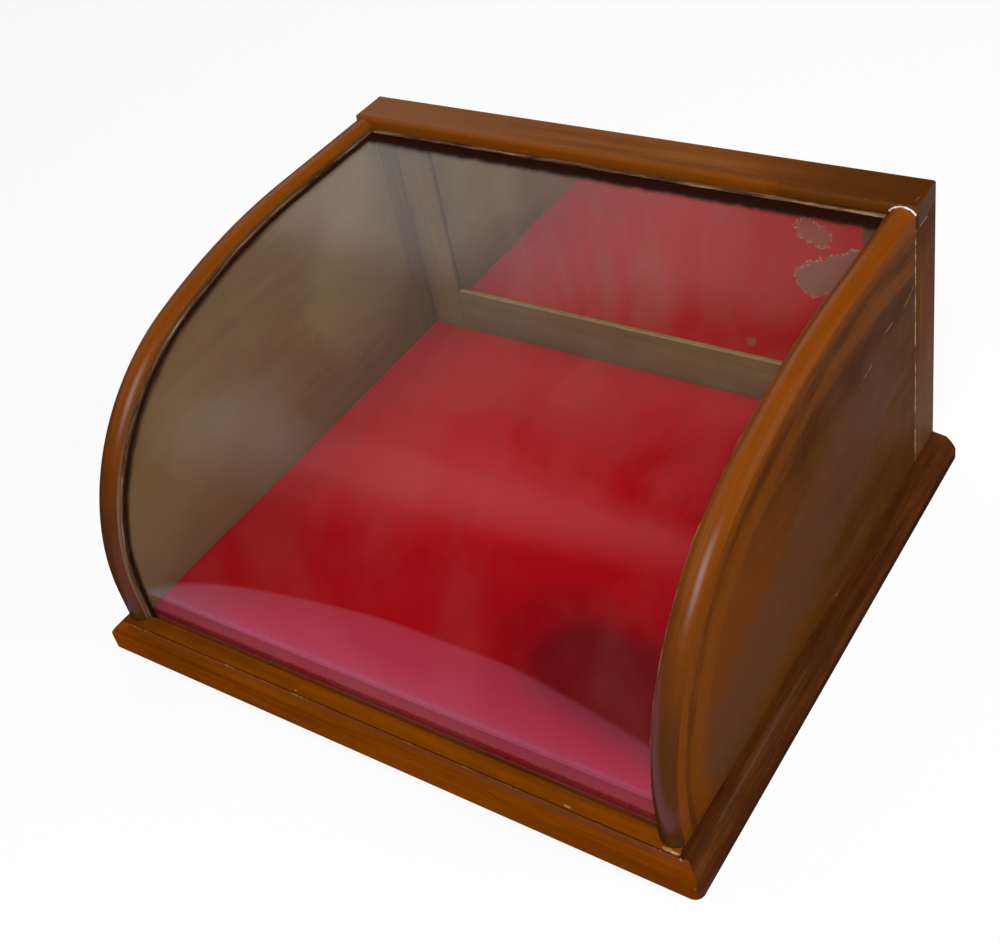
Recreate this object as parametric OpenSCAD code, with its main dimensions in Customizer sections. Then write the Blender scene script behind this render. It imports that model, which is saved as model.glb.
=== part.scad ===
// Counter-top display case with a curved glass front and a mirrored rear door.
// The frame's origin is the middle of the underside: +X right, +Y to the rear, +Z up.

/* [Case] */
// Width over the two side panels
case_w = 425; // [340:1:700]
// Height from the counter to the top of the rail
case_h = 218; // [205:1:260]
// Depth from the rear face to the front of the side panels
case_d = 371; // [340:1:460]
// Thickness of the side panels and of the rear posts
panel_t = 16; // [13:0.5:22]
// Depth of the rear posts and of the top rail
post_d = 33; // [26:1:42]

/* [Curve] */
// How far the panels' rounded edge lies below the top of the rail
crown_drop = 1.5; // [0.5:0.5:3]
// Radius of the front bend
lower_r = 160; // [130:1:172]
// The flat bend's centre lies 7 of these units behind the front bend's and 24 below it
centre_unit = 12.5; // [10:0.5:14]
// Rise of the rounded edge over the panel's flat faces
nose_rise = 4; // [2:0.5:6]

/* [Base] */
// Thickness of the base board and height of its mouldings
base_t = 19; // [16:0.5:25]
// Width of the board's ledge in front of the side panels
ledge_w = 3; // [1:0.5:8]
// Width of the front moulding
front_strip_w = 10; // [10:0.5:14]
// Width of the right side moulding
right_strip_w = 16; // [14:0.5:22]
// Width of the left side moulding, narrower than the front one
left_strip_w = 8.5; // [8:0.5:9.5]
// Fall of the mouldings' top towards the outside
strip_fall = 1.7; // [0.5:0.1:3]
// Width of the mouldings' sloping edge
slope_w = 6.5; // [4:0.1:8]
// Height of the mouldings' sloping edge
slope_h = 8.8; // [5:0.1:12]
// Radius of the swell on the sloping edge
slope_r = 25; // [12:1:40]
// Corner radius of the mouldings, seen from above
corner_r = 6; // [3:0.5:9]

/* [Top rail] */
// Height of the rail over the posts
rail_h = 16; // [13:0.5:20]
// Radius along the rail's top front edge
rail_r = 5; // [3:0.5:7]
// Radius of the rail's two front corners, seen from above
rail_corner_r = 5; // [3:0.5:7]
// Radius of the worn edges at the rail's ends and rear
rail_worn_r = 2.5; // [1:0.5:4]
// Depth of the rail's groove for the glass
rail_groove_d = 6; // [4:0.5:9]
// Depth of the strip that the door closes against
stop_d = 6; // [4:0.5:9]
// Height of the strip that the door closes against
stop_h = 5; // [4:0.5:7]

/* [Glass] */
// Thickness of the curved glass
glass_t = 3; // [2:0.5:4]
// Distance from the panels' rounded edge down to the glass
glass_inset = 8; // [7:0.5:13]
// Depth of the grooves that hold the glass
groove_d = 3.5; // [2.5:0.5:6]
// Depth of the groove in the base board
sill_groove_d = 3; // [1:0.5:4]
// Thickness of the putty bead
putty_t = 1.5; // [0.8:0.1:2.5]

/* [Floor] */
// Thickness of the loose floor board
floor_t = 4.2; // [3:0.1:8]
// Thickness of the cloth that covers it
cloth_t = 1.2; // [0.8:0.1:3]

/* [Door] */
// Thickness of the door frame
door_t = 14.4; // [13:0.1:18]
// Width of the door stiles
stile_w = 26; // [22:0.5:34]
// Height of the bottom door rail
low_rail_h = 36; // [30:0.5:45]
// Height of the top door rail
high_rail_h = 20; // [20:0.5:35]
// Width of the bevel around the mirror
bevel_w = 11; // [4:0.5:12]
// Depth of the bevel around the mirror
bevel_d = 3.5; // [2:0.5:4]
// Depth of the straight edge between the bevel and the mirror
sight_wall = 2.2; // [1:0.1:2.5]
// Width of the rebate that the mirror lies in
rebate_w = 6; // [4:0.5:9]
// Thickness of the mirror
mirror_t = 3; // [2:0.5:4]
// Thickness of the board behind the mirror
back_t = 3; // [2:0.5:4]
// Length of the tenons on the door rails
tenon_l = 13; // [8:1:18]
// Thickness of the tenons
tenon_t = 3.4; // [2:0.1:4]

/* [Door hinges] */
// Height of each hinge
hinge_h = 30; // [22:1:44]
// Distance from the door's top and bottom to the hinges' middle
hinge_end = 31; // [24:1:50]
// Width of a hinge leaf inside the wood
leaf_w = 11; // [8:0.5:12]
// Thickness of a hinge leaf
leaf_t = 1; // [0.8:0.1:1.4]
// Radius of the hinge barrel
barrel_r = 2.2; // [2:0.1:3]
// Radius of the hinge pin
pin_r = 1; // [0.8:0.1:1.2]

/* [Fittings] */
// Diameter of the door knob
knob_d = 15; // [10:0.5:20]
// How far the knob stands out of the door
knob_l = 15; // [11:0.5:22]
// Height of the knob above the counter
knob_z = 112; // [98:1:125]
// Length of the turn button
button_l = 27; // [22:1:30]
// Width of the turn button
button_w = 10; // [9:0.5:12]
// Thickness of the turn button
button_t = 3; // [2.5:0.5:6]
// Height of the turn button above the counter
button_z = 150; // [140:1:165]
// Radius of the turn button's screw
button_screw_r = 1.75; // [1.25:0.05:2]

/* [Joinery] */
// Radius of the dowels
dowel_r = 3; // [2:0.5:4]
// Length of the dowels between post and panel
dowel_l = 24; // [16:1:30]
// Length of the dowels between post and rail
rail_dowel_l = 22; // [16:1:24]
// Radius of the base screws
base_screw_r = 2; // [1.5:0.25:2.5]
// Length of the base screws
base_screw_l = 38; // [30:1:50]
// Radius of the hinge screws
hinge_screw_r = 1.1; // [0.8:0.1:1.2]
// Length of the hinge screws
hinge_screw_l = 9; // [6:0.5:11]

/* [Clearances] */
// Gap round the door
door_gap = 0.6; // [0.4:0.1:1.5]
// Gap between the door and its stop
stop_gap = 0.4; // [0.3:0.1:1]
// Gap round the covered floor
floor_gap = 0.5; // [0.3:0.1:2]
// Gap round the edges of the glass, putty and mirror
glaze_gap = 0.2; // [0.1:0.05:0.4]
// Gap between the side putty and the glass
putty_gap = 0.1; // [0.05:0.05:0.3]
// Play of a screw, dowel or tenon in its hole
hole_gap = 0.1; // [0.05:0.05:0.2]
// Room at the blind end of a hole
end_gap = 0.8; // [0.4:0.1:2]
// Play of a turning part on its pin
run_gap = 0.05; // [0.02:0.01:0.1]
// Room between moving faces
face_gap = 0.3; // [0.2:0.05:0.5]

/* [Hidden] */

$fn = 96;
curve_fn = 240;
small_fn = 48;
// Amount by which a cutting shape runs past the face it opens
past = 1;

// Colours of the real finishes
varnished = [0.44, 0.22, 0.06];
varnished_dark = [0.33, 0.18, 0.10];
bare_wood = [0.60, 0.44, 0.28];
glass_tint = [0.78, 0.86, 0.84, 0.35];
putty_grey = [0.66, 0.60, 0.52];
red_cloth = [0.62, 0.07, 0.10];
silvered = [0.80, 0.82, 0.83];
old_brass = [0.66, 0.50, 0.24];
screw_steel = [0.50, 0.50, 0.50];

// Plan of the case
base_d = case_d + ledge_w + front_strip_w;
y_rear = base_d / 2;
y_post = y_rear - post_d;
y_crown = y_rear - case_d;
y_board = y_crown - ledge_w;
y_front = y_board - front_strip_w;
x_out = case_w / 2;
x_in = x_out - panel_t;
x_mid = x_out - panel_t / 2;
x_right = x_out + right_strip_w;
x_left = x_out + left_strip_w;

// The edge curve of the side panels: level, flat bend, front bend, upright
z_crown = case_h - crown_drop;
back_run = 7 * centre_unit;
back_drop = 24 * centre_unit;
upper_r = lower_r + 25 * centre_unit;
low_y = y_crown + lower_r;
high_y = low_y + back_run;
high_z = z_crown - upper_r;
low_z = high_z + back_drop;

// The rounded edge is an arc across the panel
nose_r = (pow(panel_t / 2, 2) + pow(nose_rise, 2)) / (2 * nose_rise);
nose_lap = 0.5;
edge_depth = glass_inset + glass_t + groove_d + nose_rise;
core_inset = (edge_depth + nose_rise) / 2;
// Straight steps of the core's hidden outline along the two bends
flat_bend_steps = 2;
front_bend_steps = 5;

// Rail, glass and floor levels
rail_under = case_h - rail_h;
y_door_in = y_rear - door_t;
y_stop = y_door_in - stop_gap;
glass_half = x_in + groove_d - 2 * glaze_gap;
glass_foot = base_t - sill_groove_d + glaze_gap;
glass_head_y = y_post + rail_groove_d - glaze_gap;
y_glass_in = y_crown + glass_inset + glass_t;
cloth_half = x_in - floor_gap;
cloth_front = y_glass_in + floor_gap;
cloth_rear = y_stop - floor_gap;
cloth_top = base_t + floor_t + cloth_t;

// Door frame
door_half = x_in - door_gap;
door_z0 = base_t + door_gap;
door_z1 = rail_under - door_gap;
sight_half = door_half - stile_w;
sight_z0 = door_z0 + low_rail_h;
sight_z1 = door_z1 - high_rail_h;
y_mirror = y_door_in + bevel_d + sight_wall;
y_back = y_mirror + mirror_t;
sprig_r = 0.6;
sprig_l = 10;
sprig_hold = 4;
y_sprig = y_back + back_t + sprig_r;
tenon_setback = 1;
y_tenon = y_door_in + bevel_d + tenon_setback;
tenon_inset = 3;

// Hinges: the pins stand clear of the rear face, over the gap beside the door
hinge_x = x_in - door_gap / 2;
hinge_y = y_rear + barrel_r + face_gap;
hinge_z = [door_z0 + hinge_end, door_z1 - hinge_end];
leaf_off = 0.1;
knuckle_n = 5;
knuckle_h = hinge_h / knuckle_n;
knuckle_gap = 0.15;
pin_cap_h = 0.8;
pin_cap_step = 0.4;
pin_cap_r = barrel_r - pin_cap_step;
hinge_screw_head_r = 2;
hinge_screw_dy = 5.5;
hinge_screw_dz = 9;

// Fittings
knob_x = -door_half + stile_w / 2;
knob_shank_r = 2;
knob_shank_l = 10;
knob_rose_r = 6;
knob_rose_h = 2;
knob_waist_r = 3.6;
knob_head_h = 9;
knob_ball_over = 1;
knob_ball_r = knob_d / 2 + knob_ball_over;
button_x = -x_mid;
button_y = y_rear + face_gap;
button_head_r = 3.4;
button_head_top_r = 2;
button_head_h = 1.8;
button_screw_l = 16;
base_screw_head_r = 4;
base_screw_head_h = 3;
// The screws' heads lie this deep in the base board
base_screw_sink = 0.5;
// Places of the base screws, from the front of the panels to the posts
base_screw_first = 65;
base_screw_y = [y_rear - post_d / 2, y_post - base_screw_first, (y_post + y_crown) / 2,
    y_crown + base_screw_first];
dowel_end = 45;
dowel_z = [base_t + dowel_end, rail_under - dowel_end];
sides = [-1, 1];

// ---- helpers -------------------------------------------------------------

// A box given by its lowest and highest corners
module block(low, high) {
    translate(low)
        cube(high - low);
}

// Places a flat outline drawn in (Y, Z) across the width, from x0 to x1
module across(x0, x1) {
    translate([x0, 0, 0])
        rotate([90, 0, 90])
            linear_extrude(x1 - x0)
                children();
}

// A rod along X from x0 to x1
module rod_x(r, x0, x1, y, z) {
    translate([x0, y, z])
        rotate([0, 90, 0])
            cylinder(r = r, h = x1 - x0, $fn = small_fn);
}

// A rod along Y from y0 to y1
module rod_y(r, y0, y1, x, z) {
    translate([x, y0, z])
        rotate([-90, 0, 0])
            cylinder(r = r, h = y1 - y0, $fn = small_fn);
}

// A rod along Z from z0 to z1
module rod_z(r, z0, z1, x, y) {
    translate([x, y, z0])
        cylinder(r = r, h = z1 - z0, $fn = small_fn);
}

// Cuts the corner at (x, y) round; turn is 1 for a left corner and -1 for a right one
module corner_cut(x, y, r, turn) {
    translate([x + turn * r, y - r])
        difference() {
            translate([turn > 0 ? -r - past : 0, 0])
                square(r + past);
            circle(r = r);
        }
}

// A rectangle with its two upper corners rounded, the left one by r0 and the right one by r1
module rounded_top(x0, x1, y0, y1, r0, r1) {
    difference() {
        translate([x0, y0])
            square([x1 - x0, y1 - y0]);
        corner_cut(x0, y1, r0, 1);
        corner_cut(x1, y1, r1, -1);
    }
}

// The wedges in (Y, Z) that hold the flat bend and the front bend of the edge curve
module upper_wedge() {
    polygon([[high_y, high_z], [high_y, high_z + 2 * upper_r],
        [high_y - 2 * back_run * upper_r / back_drop, high_z + 2 * upper_r]]);
}

module lower_wedge() {
    reach = 2 * back_drop;
    polygon([[low_y, low_z], [low_y - 2 * back_run, low_z + reach], [low_y - reach, low_z + reach],
        [low_y - reach, low_z]]);
}

// A ring about an axis along X, of a section drawn as (X, outward distance)
module ring(centre_y, centre_z, r) {
    translate([0, centre_y, centre_z])
        rotate([90, 0, 90])
            rotate_extrude($fn = curve_fn)
                translate([r, 0])
                    mirror([1, -1])
                        children();
}

// Sweeps a section, drawn as (X, outward distance), along the whole edge curve
module along_edge(y_head, z_foot) {
    translate([0, y_head, z_crown])
        rotate([90, 0, 0])
            linear_extrude(y_head - high_y)
                children();
    intersection() {
        ring(high_y, high_z, upper_r)
            children();
        across(-case_w, case_w)
            upper_wedge();
    }
    intersection() {
        ring(low_y, low_z, lower_r)
            children();
        across(-case_w, case_w)
            lower_wedge();
    }
    translate([0, y_crown, z_foot])
        linear_extrude(low_z - z_foot)
            mirror([0, 1])
                children();
}

// A flat ring in (Y, Z) between two radii
module flat_ring(centre_y, centre_z, r_out, r_in) {
    translate([centre_y, centre_z])
        difference() {
            circle(r = r_out, $fn = curve_fn);
            circle(r = r_in, $fn = curve_fn);
        }
}

// Outline in (Y, Z) of a layer that follows the edge curve between two depths
module layer_outline(from, to, y_head, z_foot) {
    translate([high_y, z_crown - to])
        square([y_head - high_y, to - from]);
    intersection() {
        flat_ring(high_y, high_z, upper_r - from, upper_r - to);
        upper_wedge();
    }
    intersection() {
        flat_ring(low_y, low_z, lower_r - from, lower_r - to);
        lower_wedge();
    }
    translate([y_crown + from, z_foot])
        square([to - from, low_z - z_foot]);
}

// ---- base ----------------------------------------------------------------

module base_screw_shape(play) {
    for (side = sides, y = base_screw_y)
        translate([side * x_mid, y, base_screw_sink - play]) {
            cylinder(r = base_screw_r + play, h = base_screw_l + 2 * play, $fn = small_fn);
            cylinder(r1 = base_screw_head_r + play, r2 = base_screw_r + play, h = base_screw_head_h,
                $fn = small_fn);
        }
}

module base_board() {
    color(varnished)
        difference() {
            block([-x_out, y_board, 0], [x_out, y_rear, base_t]);
            block([-glass_half - glaze_gap, y_crown + glass_inset - glaze_gap, base_t - sill_groove_d],
                [glass_half + glaze_gap, y_glass_in + glaze_gap, base_t + past]);
            base_screw_shape(hole_gap);
            for (side = sides, y = base_screw_y)
                translate([side * x_mid, y, -past])
                    cylinder(r = base_screw_head_r + hole_gap, h = past + base_screw_sink, $fn = small_fn);
        }
}

module base_screws() {
    color(screw_steel)
        base_screw_shape(0);
}

// Section of a moulding: outer face at 0, wood towards +X, height along Y
module strip_section(w) {
    edge_h = base_t - strip_fall;
    lower_h = edge_h - slope_h;
    chord = sqrt(pow(slope_w, 2) + pow(slope_h, 2));
    rise = sqrt(pow(slope_r, 2) - pow(chord / 2, 2));
    centre = [slope_w / 2 + rise * slope_h / chord, lower_h + slope_h / 2 - rise * slope_w / chord];
    polygon([[0, 0], [w, 0], [w, base_t], [slope_w, edge_h], [0, lower_h]]);
    intersection() {
        translate(centre)
            circle(r = slope_r, $fn = curve_fn);
        polygon([[0, lower_h], [slope_w, edge_h], [slope_w - slope_h / 2, edge_h + slope_w / 2],
            [-slope_h / 2, lower_h + slope_w / 2]]);
        square([slope_w, edge_h]);
    }
}

// Plan of the base with its two rounded front corners
module base_plan() {
    mirror([0, 1])
        rounded_top(-x_left, x_right, -y_rear, -y_front, corner_r, corner_r);
}

// Plan of the front moulding, mitred from its outer corners
module front_strip_plan() {
    polygon([[-x_left - past, y_front - past], [x_right + past, y_front - past],
        [x_right - front_strip_w, y_board], [-x_out, y_board], [-x_out, y_front + left_strip_w]]);
}

module base_moulding_front() {
    color(varnished)
        intersection() {
            across(-x_left, x_right)
                translate([y_front, 0])
                    strip_section(front_strip_w);
            linear_extrude(base_t)
                intersection() {
                    base_plan();
                    front_strip_plan();
                }
        }
}

// A side moulding of a given width at the right side, before its front end is cut
module side_strip(w) {
    translate([x_out + w, y_rear, 0])
        rotate([90, 0, 0])
            linear_extrude(base_d)
                mirror([1, 0])
                    strip_section(w);
}

module side_strip_cut() {
    linear_extrude(base_t)
        difference() {
            base_plan();
            front_strip_plan();
        }
}

module base_moulding_right() {
    color(varnished)
        intersection() {
            side_strip(right_strip_w);
            side_strip_cut();
        }
}

module base_moulding_left() {
    color(varnished)
        intersection() {
            mirror([1, 0, 0])
                side_strip(left_strip_w);
            side_strip_cut();
        }
}

// ---- side panels and posts -------------------------------------------------

// Section of the panel's edge: straight sides under a rounded nose
module nose_section() {
    translate([x_in, -edge_depth])
        square([panel_t, edge_depth - nose_rise - nose_lap]);
    intersection() {
        translate([x_mid, -nose_r])
            circle(r = nose_r);
        translate([x_in, -nose_rise - 2 * nose_lap])
            square([panel_t, nose_rise + 3 * nose_lap]);
    }
}

// Points along one bend of the edge curve, pulled in by the core's inset
function bend_points(cy, cz, r, from, turn, steps) =
    [for (i = [0:steps]) let (a = from + turn * i / steps)
        [cy + (r - core_inset) * cos(a), cz + (r - core_inset) * sin(a)]];

// Outline of the panel's core, whose edge lies inside the swept nose
module core_outline() {
    upper_turn = atan(back_run / back_drop);
    polygon(concat(
        [[y_post, base_t], [y_post, z_crown - core_inset]],
        bend_points(high_y, high_z, upper_r, 90, upper_turn, flat_bend_steps),
        bend_points(low_y, low_z, lower_r, 90 + upper_turn, 90 - upper_turn, front_bend_steps),
        [[y_crown + core_inset, base_t]]));
}

module panel_dowel_shape(play, spare) {
    for (side = sides, z = dowel_z)
        rod_y(dowel_r + play, y_post - dowel_l / 2 - spare, y_post + dowel_l / 2 + spare, side * x_mid, z);
}

module side_panel() {
    color(varnished_dark)
        difference() {
            union() {
                along_edge(y_post, base_t)
                    nose_section();
                across(x_in, x_out)
                    core_outline();
            }
            across(x_in - past, x_in + groove_d)
                layer_outline(glass_inset - glaze_gap, glass_inset + glass_t + glaze_gap, y_post + past,
                    base_t - past);
            panel_dowel_shape(hole_gap, end_gap);
            base_screw_shape(hole_gap);
        }
}

module side_panel_right() {
    side_panel();
}

module side_panel_left() {
    mirror([1, 0, 0])
        side_panel();
}

module rail_dowel_shape(play, spare) {
    for (side = sides)
        rod_z(dowel_r + play, rail_under - rail_dowel_l / 2 - spare, rail_under + rail_dowel_l / 2 + spare,
            side * x_mid, y_rear - post_d / 2);
}

module rear_post(side) {
    color(varnished_dark)
        difference() {
            block([side > 0 ? x_in : -x_out, y_post, base_t], [side > 0 ? x_out : -x_in, y_rear, rail_under]);
            panel_dowel_shape(hole_gap, end_gap);
            rail_dowel_shape(hole_gap, end_gap);
            base_screw_shape(hole_gap);
            children();
        }
}

module rear_post_right() {
    rear_post(1) {
        union() {
            hinge_mortises(1);
            hinge_screw_shape(1, hole_gap);
        }
    }
}

module rear_post_left() {
    rear_post(-1)
        rod_y(button_screw_r + hole_gap, y_rear - button_screw_l - end_gap, y_rear + past, button_x, button_z);
}

module panel_dowels() {
    color(bare_wood)
        panel_dowel_shape(0, 0);
}

module rail_dowels() {
    color(bare_wood)
        rail_dowel_shape(0, 0);
}

// ---- top rail --------------------------------------------------------------

module top_rail() {
    color(varnished)
        difference() {
            intersection() {
                across(-x_out, x_out)
                    rounded_top(y_post, y_rear, rail_under, case_h, rail_r, rail_worn_r);
                translate([0, y_rear, 0])
                    rotate([90, 0, 0])
                        linear_extrude(post_d)
                            rounded_top(-x_out, x_out, rail_under, case_h, rail_worn_r, rail_worn_r);
                translate([0, 0, rail_under])
                    linear_extrude(rail_h)
                        mirror([0, 1])
                            rounded_top(-x_out, x_out, -y_rear, -y_post, rail_corner_r, rail_corner_r);
            }
            block([-glass_half - glaze_gap, y_post - past, z_crown - glass_inset - glass_t - glaze_gap],
                [glass_half + glaze_gap, y_post + rail_groove_d, z_crown - glass_inset + glaze_gap]);
            rail_dowel_shape(hole_gap, end_gap);
        }
}

module door_stop() {
    color(varnished_dark)
        block([-x_in, y_stop - stop_d, rail_under - stop_h], [x_in, y_stop, rail_under]);
}

// ---- glass -----------------------------------------------------------------

module curved_glass() {
    color(glass_tint)
        across(-glass_half, glass_half)
            layer_outline(glass_inset, glass_inset + glass_t, glass_head_y, glass_foot);
}

module glazing_putty_top() {
    color(putty_grey)
        block([-x_in + putty_t + glaze_gap, y_post - putty_t, z_crown - glass_inset],
            [x_in - putty_t - glaze_gap, y_post, z_crown - glass_inset + putty_t]);
}

module glazing_putty_side() {
    color(putty_grey)
        across(x_in - putty_t, x_in)
            layer_outline(glass_inset - putty_t, glass_inset - putty_gap, y_post - putty_gap, base_t);
}

module glazing_putty_right() {
    glazing_putty_side();
}

module glazing_putty_left() {
    mirror([1, 0, 0])
        glazing_putty_side();
}

// ---- floor -----------------------------------------------------------------

module floor_board() {
    color(bare_wood)
        block([-cloth_half + cloth_t, cloth_front + cloth_t, base_t],
            [cloth_half - cloth_t, cloth_rear - cloth_t, base_t + floor_t]);
}

// The cloth lies over the board and is turned down round its four edges
module floor_cloth() {
    color(red_cloth)
        difference() {
            block([-cloth_half, cloth_front, base_t], [cloth_half, cloth_rear, cloth_top]);
            block([-cloth_half + cloth_t, cloth_front + cloth_t, base_t - past],
                [cloth_half - cloth_t, cloth_rear - cloth_t, base_t + floor_t]);
        }
}

// ---- door ------------------------------------------------------------------

// The bevelled hole round the mirror's sight and the rebate behind it
module mirror_hole() {
    wide = sight_half + bevel_w;
    intersection() {
        linear_extrude(case_h)
            polygon([[-wide, y_door_in], [wide, y_door_in], [sight_half, y_door_in + bevel_d],
                [-sight_half, y_door_in + bevel_d]]);
        across(-wide, wide)
            polygon([[y_door_in, sight_z0 - bevel_w], [y_door_in + bevel_d, sight_z0],
                [y_door_in + bevel_d, sight_z1], [y_door_in, sight_z1 + bevel_w]]);
    }
    block([-sight_half, y_door_in + bevel_d, sight_z0], [sight_half, y_mirror, sight_z1]);
    block([-sight_half - rebate_w, y_mirror, sight_z0 - rebate_w],
        [sight_half + rebate_w, y_rear + past, sight_z1 + rebate_w]);
}

// The tenons at both ends of a door rail, or their mortises with some play
module tenons(z0, z1, play) {
    reach = sight_half + tenon_l + (play > 0 ? end_gap : 0);
    block([-reach, y_tenon - play, z0 + tenon_inset - play],
        [reach, y_tenon + tenon_t + play, z1 - tenon_inset + play]);
}

module rail_tenons(play) {
    tenons(door_z0, sight_z0 - rebate_w, play);
    tenons(sight_z1 + rebate_w, door_z1, play);
}

// Sprigs round the back board: three along top and bottom, one on each side
sprig_end = 40;
sprig_x = [-sight_half + sprig_end, 0, sight_half - sprig_end];

module sprig_shape(play) {
    hold_z0 = sight_z0 - rebate_w - sprig_hold;
    hold_z1 = sight_z1 + rebate_w + sprig_hold;
    hold_x = sight_half + rebate_w + sprig_hold;
    for (x = sprig_x) {
        rod_z(sprig_r + play, hold_z0 - play, hold_z0 + sprig_l, x, y_sprig);
        rod_z(sprig_r + play, hold_z1 - sprig_l, hold_z1 + play, x, y_sprig);
    }
    rod_x(sprig_r + play, hold_x - sprig_l, hold_x + play, y_sprig, (sight_z0 + sight_z1) / 2);
    rod_x(sprig_r + play, -hold_x - play, -hold_x + sprig_l, y_sprig, (sight_z0 + sight_z1) / 2);
}

module mirror_sprigs() {
    color(screw_steel)
        sprig_shape(0);
}

module door_stile(side) {
    color(varnished_dark)
        difference() {
            block([side > 0 ? sight_half : -door_half, y_door_in, door_z0],
                [side > 0 ? door_half : -sight_half, y_rear, door_z1]);
            mirror_hole();
            rail_tenons(hole_gap);
            sprig_shape(hole_gap);
            children();
        }
}

module door_stile_left() {
    door_stile(-1)
        rod_y(knob_shank_r + hole_gap, y_rear - knob_shank_l - end_gap, y_rear + past, knob_x, knob_z);
}

module door_stile_right() {
    door_stile(1) {
        union() {
            hinge_mortises(-1);
            hinge_screw_shape(-1, hole_gap);
        }
    }
}

module door_rail(z0, z1, tenon_z0, tenon_z1) {
    color(varnished_dark)
        difference() {
            union() {
                block([-sight_half, y_door_in, z0], [sight_half, y_rear, z1]);
                tenons(tenon_z0, tenon_z1, 0);
            }
            mirror_hole();
            sprig_shape(hole_gap);
        }
}

module door_bottom_rail() {
    door_rail(door_z0, sight_z0, door_z0, sight_z0 - rebate_w);
}

module door_top_rail() {
    door_rail(sight_z1, door_z1, sight_z1 + rebate_w, door_z1);
}

// A sheet that lies in the rebate, from depth y0 to y1
module rebate_sheet(y0, y1) {
    reach = rebate_w - glaze_gap;
    block([-sight_half - reach, y0, sight_z0 - reach], [sight_half + reach, y1, sight_z1 + reach]);
}

module mirror_glass() {
    color(silvered)
        rebate_sheet(y_mirror, y_back);
}

module mirror_back_board() {
    color(bare_wood)
        rebate_sheet(y_back, y_back + back_t);
}

// ---- hinges ----------------------------------------------------------------

// A box in a hinge's own axes: side +1 is the frame's leaf and -1 the door's
module leaf_block(side, z, x0, x1, y0, y1, z0, z1) {
    low_x = side > 0 ? x0 : -x1;
    high_x = side > 0 ? x1 : -x0;
    block([hinge_x + low_x, hinge_y + y0, z + z0], [hinge_x + high_x, hinge_y + y1, z + z1]);
}

leaf_reach = barrel_r + face_gap + leaf_w;

// Recesses for the leaves in the post's inner face or the door's edge
module hinge_mortises(side) {
    for (z = hinge_z)
        leaf_block(side, z, -leaf_off, leaf_off + leaf_t, -leaf_reach - hole_gap, past,
            -hinge_h / 2 - hole_gap, hinge_h / 2 + hole_gap);
}

// Countersunk screws that run away from the pin, two to a leaf
module hinge_screw_shape(side, play) {
    for (z = hinge_z, up = sides)
        translate([hinge_x + side * leaf_off, y_rear - hinge_screw_dy, z + up * hinge_screw_dz])
            rotate([0, side * 90, 0]) {
                cylinder(r1 = hinge_screw_head_r + play, r2 = hinge_screw_r + play, h = leaf_t, $fn = small_fn);
                cylinder(r = hinge_screw_r + play, h = hinge_screw_l + play, $fn = small_fn);
            }
}

// The knuckles that belong to one leaf: the frame has the odd ones
function own_knuckles(side) = [for (i = [0:knuckle_n - 1]) if ((i % 2 == 0) == (side > 0)) i];
function other_knuckles(side) = own_knuckles(-side);

module hinge_leaves(side) {
    for (z = hinge_z)
        difference() {
            union() {
                leaf_block(side, z, leaf_off, leaf_off + leaf_t, -leaf_reach, 0, -hinge_h / 2, hinge_h / 2);
                for (i = own_knuckles(side))
                    rod_z(barrel_r, z - hinge_h / 2 + i * knuckle_h, z - hinge_h / 2 + (i + 1) * knuckle_h,
                        hinge_x, hinge_y);
            }
            for (i = other_knuckles(side))
                rod_z(barrel_r + face_gap, z - hinge_h / 2 + i * knuckle_h - knuckle_gap,
                    z - hinge_h / 2 + (i + 1) * knuckle_h + knuckle_gap, hinge_x, hinge_y);
            rod_z(pin_r + run_gap, z - hinge_h, z + hinge_h, hinge_x, hinge_y);
            hinge_screw_shape(side, hole_gap);
        }
}

module hinge_frame_leaves() {
    color(old_brass)
        hinge_leaves(1);
}

module hinge_door_leaves() {
    color(old_brass)
        hinge_leaves(-1);
}

module hinge_pins() {
    color(old_brass)
        for (z = hinge_z) {
            rod_z(pin_r, z - hinge_h / 2 - pin_cap_h, z + hinge_h / 2 + pin_cap_h, hinge_x, hinge_y);
            rod_z(pin_cap_r, z + hinge_h / 2, z + hinge_h / 2 + pin_cap_h, hinge_x, hinge_y);
            rod_z(pin_cap_r, z - hinge_h / 2 - pin_cap_h, z - hinge_h / 2, hinge_x, hinge_y);
        }
}

module frame_hinge_screws() {
    color(old_brass)
        hinge_screw_shape(1, 0);
}

module door_hinge_screws() {
    color(old_brass)
        hinge_screw_shape(-1, 0);
}

// ---- fittings --------------------------------------------------------------

// A turned knob: rose, waist and rounded head, with its screw thread in the stile
module door_knob() {
    color(old_brass)
        translate([knob_x, y_rear, knob_z])
            rotate([-90, 0, 0])
                union() {
                    translate([0, 0, -knob_shank_l])
                        cylinder(r = knob_shank_r, h = knob_shank_l + knob_rose_h, $fn = small_fn);
                    cylinder(r = knob_rose_r, h = knob_rose_h);
                    cylinder(r = knob_waist_r, h = knob_l - knob_head_h / 2);
                    rotate_extrude()
                        intersection() {
                            translate([0, knob_l - knob_ball_r])
                                circle(r = knob_ball_r);
                            translate([0, knob_l - knob_head_h])
                                square([knob_d / 2, knob_head_h]);
                        }
                }
}

// The turn button hangs along the post at rest and swings up over the door's edge
module turn_button() {
    end_r = button_w / 2;
    low_z = button_z - button_l + button_w;
    color(old_brass)
        difference() {
            union() {
                block([button_x - end_r, button_y, low_z], [button_x + end_r, button_y + button_t, button_z]);
                rod_y(end_r, button_y, button_y + button_t, button_x, button_z);
                rod_y(end_r, button_y, button_y + button_t, button_x, low_z);
            }
            rod_y(button_screw_r + run_gap, button_y - past, button_y + button_t + past, button_x, button_z);
        }
}

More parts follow.
